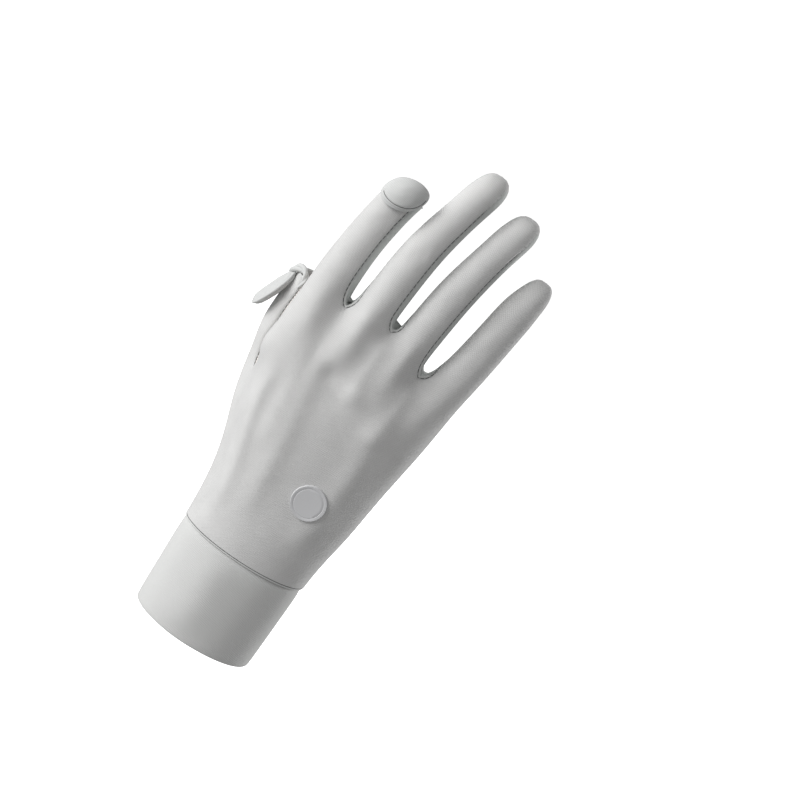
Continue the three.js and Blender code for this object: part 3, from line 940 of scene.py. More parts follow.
@dataclass
class Shell:
    """The sewn shell: every panel's outer skin, welded, smoothed, grooved and cut again."""

    panels: tuple[Panel, ...] = (
        Panel("back_panel", Cloth.BACK, BACK_KNIT),
        Panel("palm_panel", Cloth.PALM, PALM_MESH, fold_limit=55.0),
        Panel("fourchette_index_middle", Cloth.STRIP, STRIP_KNIT, faces_gap=True, fold_limit=70.0),
        Panel("fourchette_middle_ring", Cloth.STRIP, STRIP_KNIT, faces_gap=True, fold_limit=70.0),
        Panel("fourchette_ring_little", Cloth.STRIP, STRIP_KNIT, faces_gap=True, fold_limit=70.0),
    )
    rounds: int = 2
    wall: float = 0.7 * MM
    seam_gap: float = 0.55 * MM
    groove_band: float = 0.5 * MM
    groove_steps: int = 4
    groove_depth: float = 0.42 * MM
    groove_width: float = 0.36 * MM
    swell: float = 0.10 * MM
    swell_place: float = 1.5 * MM
    swell_width: float = 0.6
    seam_step: float = 0.15 * MM
    tip_rounds: int = 24
    tip_calm: float = 0.9
    tip_reach: tuple[float, float] = (7.0 * MM, 14.0 * MM)
    seams: list[Seam] = field(default_factory=list)
    pieces: dict[str, bpy.types.Object] = field(default_factory=dict)
    tree: Optional[BVHTree] = None

    def build(self) -> None:
        """Makes the shell and cuts it into its panels."""
        whole = self.weld([self.take_skin(panel) for panel in self.panels])
        subdivide(whole, self.rounds)
        self.sculpt(whole.data)
        self.seams = self.find_seams(whole.data)
        self.groove(whole)
        self.tree = surface_of(whole.data)
        self.cut(whole)

    def dress(self) -> None:
        """Gives each panel its finish."""
        for panel in self.panels:
            hand_over(self.pieces[panel.node], panel.slot, panel.finish, panel.node)

    def take_skin(self, panel: Panel) -> bpy.types.Object:
        """Copies a node's mesh and keeps its outer skin.

        Args:
            panel: the panel whose node is copied.

        Returns:
            An object with the skin alone, with its cloth map.
        """
        piece = node_copy(panel.node, "skin_" + panel.node)
        body = bmesh.new()
        body.from_mesh(piece.data)
        body.normal_update()
        skins = split_skins(body, math.radians(panel.fold_limit))
        look = -1.0 if panel.faces_gap else 1.0
        outer = max(skins, key=lambda skin: look * outwardness(skin))
        kept = set(face.index for face in outer)
        rest = [face for face in body.faces if face.index not in kept]
        bmesh.ops.delete(body, geom=rest, context="FACES")
        body.to_mesh(piece.data)
        body.free()
        lay_cloth_map(piece)
        return piece

    def weld(self, skins: list[bpy.types.Object]) -> bpy.types.Object:
        """Joins the skins and closes the seam gaps, with one material slot for each panel.

        Args:
            skins: the panels' outer skins, in the panels' order.

        Returns:
            The joined shell.
        """
        for panel, skin in zip(self.panels, skins):
            skin.data.materials.clear()
            skin.data.materials.append(bpy.data.materials.new("cut_" + panel.node))
            one_material(skin.data)
        deselect_all()
        for skin in skins:
            skin.select_set(True)
        whole = skins[0]
        bpy.context.view_layer.objects.active = whole
        bpy.ops.object.join()
        with editing(whole):
            bpy.ops.mesh.select_mode(type="VERT")
            bpy.ops.mesh.select_all(action="DESELECT")
            bpy.ops.mesh.select_non_manifold(
                extend=False, use_wire=False, use_boundary=True, use_multi_face=False,
                use_non_contiguous=False, use_verts=False)
            bpy.ops.mesh.remove_doubles(threshold=self.seam_gap)
        whole.name = "cloth_shell"
        return whole

    def sculpt(self, mesh: bpy.types.Mesh) -> None:
        """Shapes the even form: side seams, webs, the slanted rim, full tips and folds.

        Args:
            mesh: the smoothed shell, whose points are moved.
        """
        places = places_of(mesh)
        tree = surface_of(mesh)
        for finger in (*FINGERS, THUMB):
            places = finger.slide(places, tree)
        places[:, 2] -= sum(web.lowered(places) for web in WEBS)
        places = INDEX_END.slant(places)
        places = relax(mesh, places, self.near_tips(places), self.tip_rounds)
        set_places(mesh, places)
        normals = normals_of(mesh)
        for form in FINGERS:
            places = places + normals * form.fill(places, normals)[:, None]
        for fold in FOLDS:
            places = places + normals * fold.heights(places, normals)[:, None]
        set_places(mesh, places)

    def find_seams(self, mesh: bpy.types.Mesh) -> list[Seam]:
        """Walks every line where two panels meet, and every open edge.

        Args:
            mesh: the shell after smoothing.

        Returns:
            The lines, each with its points in order.
        """
        names = [material.name.removeprefix("cut_") for material in mesh.materials]
        body = bmesh.new()
        body.from_mesh(mesh)
        body.normal_update()
        groups: dict[tuple[str, str], set] = {}
        for edge in body.edges:
            owners = sorted(set(names[face.material_index] for face in edge.link_faces))
            if edge.is_boundary:
                owners.append(OPEN_RIM)
            if len(owners) == 2:
                groups.setdefault((owners[0], owners[1]), set()).add(edge)
        found = []
        for pair in sorted(groups):
            for ring in walk_edges(groups[pair]):
                found.append(self.measure(ring, pair, names))
        body.free()
        return sorted(found, key=lambda seam: (seam.first, seam.second, -len(seam.places)))

    def measure(self, ring: list, pair: tuple[str, str], names: list[str]) -> Seam:
        """Takes a line's places, normals and the directions into its panels.

        Args:
            ring: the line's points in order.
            pair: the names of the two panels, or of a panel and the open rim.
            names: the panel of each material slot.

        Returns:
            The line as a seam.
        """
        places = np.array([vert.co for vert in ring])
        normals = np.array([vert.normal for vert in ring])
        ahead = np.gradient(places, axis=0)
        ahead /= np.linalg.norm(ahead, axis=1, keepdims=True) + 1e-12
        sides = {}
        for name in pair:
            rows = []
            for vert in ring:
                own = [
                    face.calc_center_median() for face in vert.link_faces
                    if names[face.material_index] == name]
                rows.append(sum(own, Vector()) / len(own) - vert.co if own else Vector())
            inward = np.array(rows)
            inward -= (inward * ahead).sum(1, keepdims=True) * ahead
            inward -= (inward * normals).sum(1, keepdims=True) * normals
            inward /= np.linalg.norm(inward, axis=1, keepdims=True) + 1e-12
            sides[name] = inward
        return Seam(*pair, places, normals, sides)

    def groove(self, whole: bpy.types.Object) -> None:
        """Adds narrow bands along the seams and sinks them, with a soft swell beside.

        Args:
            whole: the sculpted shell.
        """
        body = bmesh.new()
        body.from_mesh(whole.data)
        lines = [
            edge for edge in body.edges
            if len(edge.link_faces) == 2
            and len({face.material_index for face in edge.link_faces}) == 2]
        bmesh.ops.bevel(
            body, geom=lines, offset=self.groove_band, offset_type="OFFSET",
            segments=self.groove_steps, profile=0.5, affect="EDGES", clamp_overlap=True,
            material=-1)
        body.to_mesh(whole.data)
        body.free()
        whole.data.update()
        dense = np.concatenate([
            seam.at(seam.places, seam.stations(self.seam_step)) for seam in self.sewn()])
        finder = KDTree(len(dense))
        for index, place in enumerate(dense):
            finder.insert(place, index)
        finder.balance()
        places, normals = places_of(whole.data), normals_of(whole.data)
        away = np.array([finder.find(place)[2] for place in places])
        calm = 1.0 - self.near_tips(places)
        sink = -self.groove_depth * calm * np.exp(-(away / self.groove_width) ** 2)
        beside = (away - self.swell_place) / (self.swell_width * self.swell_place)
        rise = calm * self.swell * np.exp(-beside ** 2)
        set_places(whole.data, places + normals * (sink + rise)[:, None])

    def near_tips(self, places: np.ndarray) -> np.ndarray:
        """How near each place is to a closed fingertip, where the seams lie flat.

        Args:
            places: one row of coordinates for each place.

        Returns:
            One share for each place, 0 away from the tips.
        """
        away = [np.linalg.norm(places - np.array(form.tip) * MM, axis=1) for form in FINGERS]
        shares = [1.0 - soft_step(distance, *self.tip_reach) for distance in away]
        return self.tip_calm * np.max(shares, axis=0)

    def sewn(self) -> list[Seam]:
        """The lines where two panels meet, without the open edges."""
        return [seam for seam in self.seams if seam.second != OPEN_RIM]

    def cut(self, whole: bpy.types.Object) -> None:
        """Cuts the shell along its seams and gives each panel its wall.

        Args:
            whole: the grooved shell, which is used up.
        """
        names = [material.name.removeprefix("cut_") for material in whole.data.materials]
        for place, name in enumerate(names):
            body = bmesh.new()
            body.from_mesh(whole.data)
            others = [face for face in body.faces if face.material_index != place]
            bmesh.ops.delete(body, geom=others, context="FACES")
            mesh = bpy.data.meshes.new("cloth_" + name)
            body.to_mesh(mesh)
            body.free()
            one_material(mesh)
            piece = new_piece("cloth_" + name, mesh)
            finish_with(
                piece, "SOLIDIFY", thickness=self.wall, offset=-1.0, use_even_offset=False,
                use_rim=True)
            smooth_shading(piece, 60.0)
            self.pieces[name] = piece
        bpy.data.objects.remove(whole)


def relax(mesh: bpy.types.Mesh, places: np.ndarray, weights: np.ndarray, rounds: int) -> np.ndarray:
    """Evens places out towards their neighbours' middle.

    Args:
        mesh: the mesh whose edges join the places.
        places: one row of coordinates for each place.
        weights: how much each place gives way, from 0 to 1.
        rounds: how often it is done.

    Returns:
        The evened places.
    """
    edges = np.array([tuple(edge.vertices) for edge in mesh.edges])
    counts = np.bincount(edges.ravel(), minlength=len(places))[:, None]
    for _ in range(rounds):
        total = np.zeros_like(places)
        np.add.at(total, edges[:, 0], places[edges[:, 1]])
        np.add.at(total, edges[:, 1], places[edges[:, 0]])
        places = places + (total / counts - places) * 0.5 * weights[:, None]
    return places


def split_skins(body: bmesh.types.BMesh, limit: float) -> list[list[bmesh.types.BMFace]]:
    """Sorts a closed body's faces into skins that no sharp fold divides.

    Args:
        body: the closed cloth body.
        limit: the sharpest fold inside a skin, in radians.

    Returns:
        The faces of the two largest skins.
    """
    seen, skins = set(), []
    for face in body.faces:
        if face.index in seen:
            continue
        seen.add(face.index)
        skin, stack = [], [face]
        while stack:
            current = stack.pop()
            skin.append(current)
            for edge in current.edges:
                if edge.calc_face_angle(math.pi) >= limit:
                    continue
                for other in edge.link_faces:
                    if other.index not in seen:
                        seen.add(other.index)
                        stack.append(other)
        skins.append(skin)
    return sorted(skins, key=len, reverse=True)[:2]


def outwardness(skin: list[bmesh.types.BMFace]) -> float:
    """How far a skin's faces look away from its middle.

    Args:
        skin: the skin's faces.

    Returns:
        The sum over its faces, below zero where they look at the middle.
    """
    middle = sum((face.calc_center_median() for face in skin), Vector()) / len(skin)
    return sum(
        face.normal.dot(face.calc_center_median() - middle) * face.calc_area() for face in skin)


def walk_edges(todo: set) -> list[list[bmesh.types.BMVert]]:
    """Sorts joined edges into lines of points in order.

    Args:
        todo: the edges, which are used up.

    Returns:
        One list of points for each line; a closed line ends with its first point.
    """
    lines = []
    degree: dict = {}
    for edge in todo:
        for vert in edge.verts:
            degree[vert] = degree.get(vert, 0) + 1
    ordered = sorted(degree, key=lambda vert: vert.index)
    starts = [vert for vert in ordered if degree[vert] != 2] + ordered
    for start in starts:
        while True:
            ways = [edge for edge in start.link_edges if edge in todo]
            step = min(ways, key=lambda edge: edge.index, default=None)
            if step is None:
                break
            line, here = [start], start
            while step is not None:
                todo.discard(step)
                here = step.other_vert(here)
                line.append(here)
                if degree[here] != 2:
                    break
                step = next((e for e in here.link_edges if e in todo), None)
            lines.append(line)
    return lines


def lay_cloth_map(piece: bpy.types.Object) -> None:
    """Unwraps a skin to a map in metres, with the knit's columns along +Z.

    Args:
        piece: the skin, which gets the cloth map.
    """
    mesh = piece.data
    new_map(mesh)
    with editing(piece):
        bpy.ops.mesh.select_all(action="SELECT")
        bpy.ops.uv.unwrap(method="ANGLE_BASED", margin=0.0)
    corners = corners_of(mesh)
    flat = np.empty(len(corners) * 2)
    mesh.uv_layers[CLOTH_MAP].uv.foreach_get("vector", flat)
    flat = flat.reshape(-1, 2)
    places = places_of(mesh)[corners]
    real, mapped = 0.0, 0.0
    for face in mesh.polygons:
        ring = flat[list(face.loop_indices)]
        ahead = np.roll(ring, -1, axis=0)
        mapped += abs(float((ring[:, 0] * ahead[:, 1] - ring[:, 1] * ahead[:, 0]).sum())) / 2
        real += face.area
    flat = (flat - flat.mean(0)) * math.sqrt(real / max(mapped, 1e-12))
    rise = np.linalg.lstsq(np.c_[flat, np.ones(len(flat))], places[:, 2], rcond=None)[0][:2]
    rise = rise / np.linalg.norm(rise)
    turned = np.stack([flat @ np.array([rise[1], -rise[0]]), flat @ rise], 1)
    write_map(mesh, turned)


# --------------------------------------------------------------------------------------
# Cords, piping and stitches
# --------------------------------------------------------------------------------------


@dataclass
class CordWork:
    """Thin round cords laid along seams, joined into one piece."""

    name: str
    radius: float
    slot: Cloth
    finish: Finish
    resolution: int = 2
    runs: list[tuple[np.ndarray, np.ndarray, bool]] = field(default_factory=list)

    def lay(
            self, places: np.ndarray, shares: Optional[np.ndarray] = None,
            closed: bool = False) -> None:
        """Adds one cord.

        Args:
            places: the points that it follows.
            shares: its thickness at each point, as a share of the radius.
            closed: whether it runs round to its start.
        """
        if shares is None:
            shares = np.ones(len(places))
        self.runs.append((places, shares, closed))

    def build(self) -> bpy.types.Object:
        """Sweeps the cords and makes them a mesh.

        Returns:
            The cords as one object.
        """
        curve = bpy.data.curves.new(self.name, "CURVE")
        curve.dimensions = "3D"
        curve.bevel_depth = self.radius
        curve.bevel_resolution = self.resolution
        curve.use_fill_caps = True
        for places, shares, closed in self.runs:
            spline = curve.splines.new("POLY")
            spline.points.add(len(places) - 1)
            spline.points.foreach_set("co", np.c_[places, np.ones(len(places))].ravel())
            spline.points.foreach_set("radius", shares)
            spline.use_cyclic_u = closed
        take_up(new_piece(self.name, curve))
        bpy.ops.object.convert(target="MESH")
        piece = bpy.context.view_layer.objects.active
        piece.name = self.name
        smooth_shading(piece, 60.0)
        return piece

    def dress(self, piece: bpy.types.Object) -> None:
        """Gives the cords their finish."""
        hand_over(piece, self.slot, self.finish)


@dataclass
class Stitching:
    """Rows of short stitches, each a copy of one capsule."""

    name: str
    slot: Cloth
    finish: Finish
    length: float = 1.4 * MM
    thickness: float = 0.34 * MM
    segments: int = 6
    rings: int = 4
    spots: list[Matrix] = field(default_factory=list)

    def row(self, seam: Seam, pitch: float, lift: float) -> None:
        """Adds a row of stitches along a seam.

        Args:
            seam: the seam that it follows.
            pitch: the distance from one stitch to the next.
            lift: how high the stitches' middles lie over the cloth.
        """
        where = seam.stations(pitch, pitch * 0.5)
        places = seam.at(seam.places, where)
        normals = seam.at(seam.normals, where)
        ahead = seam.at(np.gradient(seam.places, axis=0), where)
        for place, normal, along in zip(places, normals, ahead):
            up = Vector(normal).normalized()
            run = Vector(along).normalized()
            across = run.cross(up).normalized()
            up = across.cross(run).normalized()
            matrix = Matrix((across, run, up)).transposed().to_4x4()
            matrix.translation = Vector(place) + up * lift
            self.spots.append(matrix)

    def build(self) -> bpy.types.Object:
        """Models one stitch and copies it to every spot.

        Returns:
            All the stitches as one object.
        """
        deselect_all()
        bpy.ops.mesh.primitive_uv_sphere_add(
            segments=self.segments, ring_count=self.rings, radius=0.5)
        one = bpy.context.view_layer.objects.active
        with editing(one):
            bpy.ops.mesh.select_all(action="SELECT")
            bpy.ops.transform.rotate(
                value=math.pi / 2, orient_axis="X", center_override=(0.0, 0.0, 0.0))
            bpy.ops.transform.resize(value=(self.thickness, self.length, self.thickness))
        return copies_of(one, self.spots, self.name)

    def dress(self, piece: bpy.types.Object) -> None:
        """Gives the stitches their finish."""
        smooth_shading(piece, 80.0)
        hand_over(piece, self.slot, self.finish)


def copies_of(one: bpy.types.Object, spots: Sequence[Matrix], name: str) -> bpy.types.Object:
    """Copies a small shape to many places, as one mesh, and clears the first away.

    Args:
        one: the shape, modelled at the origin.
        spots: where each copy goes.
        name: the new object's name.

    Returns:
        The copies as one object.
    """
    template = places_of(one.data)
    faces = [tuple(face.vertices) for face in one.data.polygons]
    every, rows = [], []
    for index, spot in enumerate(spots):
        turn = np.array(spot.to_3x3())
        every.append(template @ turn.T + np.array(spot.translation))
        start = index * len(template)
        rows.extend(tuple(start + corner for corner in face) for face in faces)
    mesh = mesh_from(name, np.concatenate(every), rows)
    bpy.data.objects.remove(one)
    return new_piece(name, mesh)


# --------------------------------------------------------------------------------------
# Turned-back caps
# --------------------------------------------------------------------------------------


def unit_ball(name: str, segments: int, rings: int) -> bpy.types.Object:
    """Adds a ball of radius 1 at the origin, to be moulded.

    Args:
        name: the ball's name.
        segments: its faces round.
        rings: its faces from pole to pole.

    Returns:
        The ball.
    """
    deselect_all()
    bpy.ops.mesh.primitive_uv_sphere_add(
        segments=segments, ring_count=rings, radius=1.0, location=(0.0, 0.0, 0.0))
    ball = bpy.context.view_layer.objects.active
    ball.name = ball.data.name = name
    return ball


def mould(ball: bpy.types.Object, places: list, flats: list) -> bpy.types.Object:
    """Moves a ball's points to their moulded places and gives it its cloth map.

    Args:
        ball: the ball that is moulded.
        places: each point's place in metres.
        flats: each point's millimetres across and along the fabric.

    Returns:
        The same object, moulded.
    """
    set_places(ball.data, np.array(places))
    new_map(ball.data)
    write_map(ball.data, (np.array(flats) * MM)[corners_of(ball.data)])
    face_outwards(ball)
    smooth_shading(ball, 70.0)
    return ball


@dataclass
class IndexCap:
    """The index fingertip's cap, turned back onto the finger's back: a soft pouch with a hem."""

    half_length: float = 10.1
    half_height: float = 6.5
    pointed: float = 0.16
    tilt: float = 33.0
    centre: float = 5.0
    sideways: float = -0.45
    wrap: float = 9.4
    rest: float = 0.80
    edge: float = 0.95
    puff: float = 2.1
    flat_top: float = 0.2
    wrinkle: float = 0.34
    wrinkle_turns: tuple[float, float] = (9.0, 3.0)
    stitch_at: float = 0.80
    stitch_sink: float = 0.45
    stitch_width: float = 0.045
    hem_radius: float = 0.42
    hem_layers: tuple[tuple[float, float], ...] = ((0.99, -0.30), (1.015, -1.05))
    hem_ends: float = 0.12
    hem_span: tuple[float, float] = (-172.0, 0.0)
    stitch_radius: float = 0.16
    stitch_span: tuple[float, float] = (-170.0, -10.0)
    stitch_lift: float = 0.04
    # Painted shadow: a dark cord under the hem, where the cap's shadow falls on the finger.
    shadow_span: tuple[float, float] = (-160.0, -14.0)
    shadow_radius: float = 0.34
    shadow_at: float = 1.03
    shadow_lift: float = 0.30
    segments: int = 128
    rings: int = 80
    node: str = "index_cap"

    def place(self, across: float, along: float, height: float) -> Vector:
        """Wraps a flat place round the finger.

        Args:
            across: millimetres across the finger.
            along: millimetres up the finger from the cap's middle.
            height: millimetres over the finger's cloth.

        Returns:
            The place in metres.
        """
        end = INDEX_END
        turn = across / self.wrap
        axis = Vector(end.low) + end.axis() * (self.centre + along)
        out = end.across() * math.sin(turn) + end.back() * math.cos(turn)
        return (axis + out * (end.radius + height)) * MM

    def outline(self, angle: float) -> tuple[float, float]:
        """The cap's flat outline: a slanted lens.

        Args:
            angle: direction from the middle, in radians; the hem lies below.

        Returns:
            Millimetres across and along the finger.
        """
        long = self.half_length * math.cos(angle)
        short = self.half_height * math.sin(angle) * abs(math.sin(angle)) ** self.pointed
        tilt = math.radians(self.tilt)
        return (
            long * math.cos(tilt) - short * math.sin(tilt) + self.sideways,
            long * math.sin(tilt) + short * math.cos(tilt),
        )

    def height(self, angle: float, reach: float) -> float:
        """How high the pouch's upper side stands over the finger's cloth.

        Args:
            angle: direction from the middle, in radians.
            reach: share of the way from the middle to the outline.

        Returns:
            The height in millimetres.
        """
        up = math.sqrt(max(0.0, 1.0 - reach * reach))
        hem = max(0.0, -math.sin(angle)) ** 0.4
        beside = (reach - self.stitch_at) / self.stitch_width
        sink = self.stitch_sink * hem * math.exp(-beside ** 2)
        outwards, round_it = self.wrinkle_turns
        wave = math.sin(outwards * reach + round_it * angle)
        wrinkles = self.wrinkle * wave * reach * (1.0 - reach)
        crown = self.puff * max(0.0, up - self.flat_top) ** 1.1
        return self.rest + self.edge * (1.0 + up ** 0.5) + crown - sink + wrinkles

    def build(self) -> bpy.types.Object:
        """Moulds a ball into the pouch.

        Returns:
            The cap without its material.
        """
        cap = unit_ball("cloth_" + self.node, self.segments, self.rings)
        moved, flats = [], []
        for vert in cap.data.vertices:
            angle = math.atan2(vert.co.y, vert.co.x)
            reach = min(1.0, math.hypot(vert.co.x, vert.co.y))
            across, along = self.outline(angle)
            if vert.co.z > 0:
                height = self.height(angle, reach)
            else:
                height = self.rest + self.edge * (1.0 - abs(vert.co.z) ** 0.4)
            moved.append(self.place(across * reach, along * reach, height))
            flats.append((across * reach, along * reach))
        return mould(cap, moved, flats)

    def line(
            self, reach: float, start: float, stop: float, lift: float,
            count: int = 60) -> np.ndarray:
        """A line on the cap at a share of its outline.

        Args:
            reach: share of the way from the middle to the outline.
            start: first direction in degrees.
            stop: last direction in degrees.
            lift: millimetres over the pouch's upper side.
            count: how many points the line has.

        Returns:
            The line's points in metres.
        """
        rows = []
        for angle in np.radians(np.linspace(start, stop, count)):
            across, along = self.outline(float(angle))
            height = self.height(float(angle), min(reach, 1.0)) + lift
            rows.append(self.place(across * reach, along * reach, height))
        return np.array(rows)

    def cords(self) -> list[CordWork]:
        """Lays the stitched line, a dark cord of painted shadow under the cap and the two layers of
        its hem.

        Returns:
            The cords, not built yet.
        """
        stitched = CordWork("cap_seam_lines", self.stitch_radius * MM, Cloth.CAP, SEAM_THREAD_AND_SHADE)
        stitched.lay(self.line(self.stitch_at, *self.stitch_span, self.stitch_lift))
        # Painted shadow under the cap's hem.
        gap = CordWork("index_cap_gap", self.shadow_radius * MM, Cloth.CAP, SEAM_THREAD_AND_SHADE)
        under = -self.rest - self.edge + self.shadow_lift
        gap.lay(self.line(self.shadow_at, *self.shadow_span, under))
        hem = CordWork(
            "index_cap_hem", self.hem_radius * MM, Cloth.CAP, CAP_KNIT_PLAIN, resolution=3)
        for reach, lift in self.hem_layers:
            places = self.line(reach, *self.hem_span, lift * self.edge)
            ends = np.linspace(-1.0, 1.0, len(places))
            hem.lay(places, self.hem_ends + (1.0 - self.hem_ends) * (1.0 - ends ** 8))
        return [stitched, gap, hem]


@dataclass
class ThumbCap:
    """The thumb tip's cap, turned back and hanging off the thumb: a flat hollow leaf."""

    root: Triple = (-45.0, 17.2, 145.6)
    bow: Triple = (-47.3, 18.0, 134.9)
    end: Triple = (-53.0, 18.4, 125.6)
    wide: Triple = (-0.17, 0.97, 0.06)
    hem_radius: float = 0.62
    half_width: float = 6.6
    half_thickness: float = 2.15
    neck: float = 0.45
    neck_to: float = 0.4
    neck_round: float = 0.8
    neck_thick: float = 0.75
    end_round: float = 2.8
    end_blunt: float = 7.0
    side_round: float = 0.85
    curl: float = 0.9
    dent: float = 0.28
    dent_at: float = 0.1
    dent_width: float = 0.32
    map_length: float = 25.0
    segments: int = 64
    rings: int = 64
    node: str = "thumb_cap"

    def spine(self, share: float) -> Vector:
        """The leaf's middle line.

        Args:
            share: the share of the way from the root to the end.

        Returns:
            The line's place in millimetres.
        """
        return (
            Vector(self.root) * (1 - share) ** 2
            + Vector(self.bow) * 2 * share * (1 - share)
            + Vector(self.end) * share ** 2
        )

    def frame_at(self, share: float) -> tuple[Vector, Vector, Vector]:
        """The leaf's cross section at a share of its length.

        Args:
            share: the share of the way from the root to the end.

        Returns:
            Its middle in millimetres, and the directions across and out of the leaf.
        """
        ahead = (self.spine(share + 0.01) - self.spine(share - 0.01)).normalized()
        wide = Vector(self.wide)
        wide = (wide - ahead * wide.dot(ahead)).normalized()
        return self.spine(share), wide, ahead.cross(wide).normalized()

    def breadth(self, share: float) -> tuple[float, float]:
        """How broad the leaf is at a share of its length.

        Args:
            share: the share of the way from the root to the end.

        Returns:
            The share that its rounded ends leave, and the share that its neck leaves.
        """
        girth = (1.0 - abs(1.0 - 2.0 * share) ** self.end_round) ** 0.5
        along = min(1.0, share / self.neck_to)
        return girth, self.neck + (1.0 - self.neck) * along ** self.neck_round

    def build(self) -> bpy.types.Object:
        """Moulds a ball into the leaf.

        Returns:
            The cap without its material.
        """
        leaf = unit_ball("cloth_" + self.node, self.segments, self.rings)
        moved, flats = [], []
        for vert in leaf.data.vertices:
            share = (1.0 - vert.co.z) / 2.0
            spot, wide, thick = self.frame_at(share)
            girth, neck = self.breadth(share)
            ring = Vector((vert.co.x, vert.co.y))
            if ring.length > 1e-9:
                ring.normalize()
            dent = self.dent * math.exp(-((ring.y - self.dent_at) / self.dent_width) ** 2)
            fold = 1.0 - dent * (ring.x > 0) * (1.0 - share)
            blunt = (1.0 - abs(vert.co.z) ** self.end_blunt) ** 0.5
            thinner = self.neck_thick + (1.0 - self.neck_thick) * neck
            x = ring.x * self.half_thickness * blunt * thinner * fold
            side = math.copysign(abs(ring.y) ** self.side_round, ring.y)
            y = side * self.half_width * girth * neck
            curl = self.curl * (y / self.half_width) ** 2
            moved.append((spot + thick * (x - curl) + wide * y) * MM)
            flats.append((y, share * self.map_length))
        return mould(leaf, moved, flats)

    def rim(self, count: int = 80) -> np.ndarray:
        """The leaf's outline, where its two sides are sewn together.

        Args:
            count: how many points the outline has.

        Returns:
            The points in metres.
        """
        rows = []
        for angle in np.linspace(0.0, math.tau, count, endpoint=False):
            share = (1.0 - math.cos(angle)) / 2.0
            spot, wide, thick = self.frame_at(share)
            girth, neck = self.breadth(share)
            y = math.copysign(self.half_width * girth * neck, math.sin(angle))
            rows.append((spot + wide * y - thick * self.curl * (y / self.half_width) ** 2) * MM)
        return np.array(rows)

    def hem(self) -> CordWork:
        """Lays the rolled hem round the leaf.

        Returns:
            The hem, not built yet.
        """
        work = CordWork(
            "thumb_cap_hem", self.hem_radius * MM, Cloth.CAP, CAP_KNIT_PLAIN, resolution=3)
        work.lay(self.rim(), closed=True)
        return work


# --------------------------------------------------------------------------------------
# Badge and grip dots
# --------------------------------------------------------------------------------------


@dataclass
class Badge:
    """The round raised badge: a plain disc with a shallow ring, bent to the glove's back."""

    x: float = 11.5
    z: float = 77.3
    radius: float = 7.55
    height: float = 1.15
    ring_at: float = 1.25
    ring_width: float = 0.24
    ring_depth: float = 0.14
    inner_rings: int = 6
    centre_rings: float = 0.7
    bevel: float = 0.3
    bevel_in: float = 0.75
    bevel_down: float = 0.45
    edge_band: float = 0.05
    lift: float = 0.12
    sides: int = 72
    node: str = "badge"

    def build(self, shell: Shell) -> bpy.types.Object:
        """Shapes a short cylinder into the badge and lays it on the cloth.

        Args:
            shell: the cloth that it lies on.

        Returns:
            The badge without its material.
        """
        deselect_all()
        bpy.ops.mesh.primitive_cylinder_add(
            vertices=self.sides, radius=self.radius * MM, depth=self.height * MM,
            location=(0.0, 0.0, self.height * MM / 2))
        disc = bpy.context.view_layer.objects.active
        disc.name = "rubber_badge"
        bpy.ops.object.transform_apply(location=True)
        with editing(disc):
            bpy.ops.mesh.select_mode(type="FACE")
            rings = self.inner_rings + self.centre_rings
            step = (self.radius - self.ring_at - 2 * self.ring_width) / rings
            self.select_cap(disc, top=True)
            self.inset(self.bevel)
            self.inset(self.ring_at - self.bevel)
            self.inset(self.ring_width, -self.ring_depth)
            self.inset(self.ring_width, self.ring_depth)
            for _ in range(self.inner_rings):
                self.inset(step)
            self.select_cap(disc, top=False)
            for _ in range(self.inner_rings):
                self.inset(self.radius / rings)
        self.lay_on(disc, shell)
        face_outwards(disc)
        smooth_shading(disc, 30.0)
        return disc

    def inset(self, width: float, depth: float = 0.0) -> None:
        """Insets the selected face, in millimetres."""
        bpy.ops.mesh.inset(thickness=width * MM, depth=depth * MM)

    def lay_on(self, disc: bpy.types.Object, shell: Shell) -> None:
        """Rounds the disc's rim and bends it to the glove's back.

        Args:
            disc: the flat badge.
            shell: the cloth that it lies on.
        """
        places = places_of(disc.data)
        top = places[:, 2] > self.height * MM / 2
        rim = np.hypot(places[:, 0], places[:, 1]) > (self.radius - self.edge_band) * MM
        places[top & rim, :2] *= 1.0 - self.bevel / self.radius * self.bevel_in
        places[top & rim, 2] -= self.bevel * MM * self.bevel_down
        across, along = self.x * MM + places[:, 0], self.z * MM + places[:, 1]
        cloth = [
            shell.tree.ray_cast(Vector((x, -RAY_START, z)), Vector((0.0, 1.0, 0.0)))[0].y
            for x, z in zip(across, along)]
        bent = np.c_[across, along, across ** 2, along ** 2, across * along, np.ones(len(places))]
        fit = np.linalg.lstsq(bent, np.array(cloth), rcond=None)[0]
        deep = bent @ fit - places[:, 2] + self.lift * MM
        set_places(disc.data, np.stack([across, deep, along], 1))

    def select_cap(self, disc: bpy.types.Object, top: bool) -> None:
        """Selects the disc's flat top or bottom, in edit mode.

        Args:
            disc: the flat badge.
            top: whether it is the top that is selected.
        """
        bpy.ops.mesh.select_all(action="DESELECT")
        body = bmesh.from_edit_mesh(disc.data)
        body.faces.ensure_lookup_table()
        for face in body.faces:
            face.select = len(face.verts) > 4 and (face.normal.z > 0.5) == top
        bmesh.update_edit_mesh(disc.data)


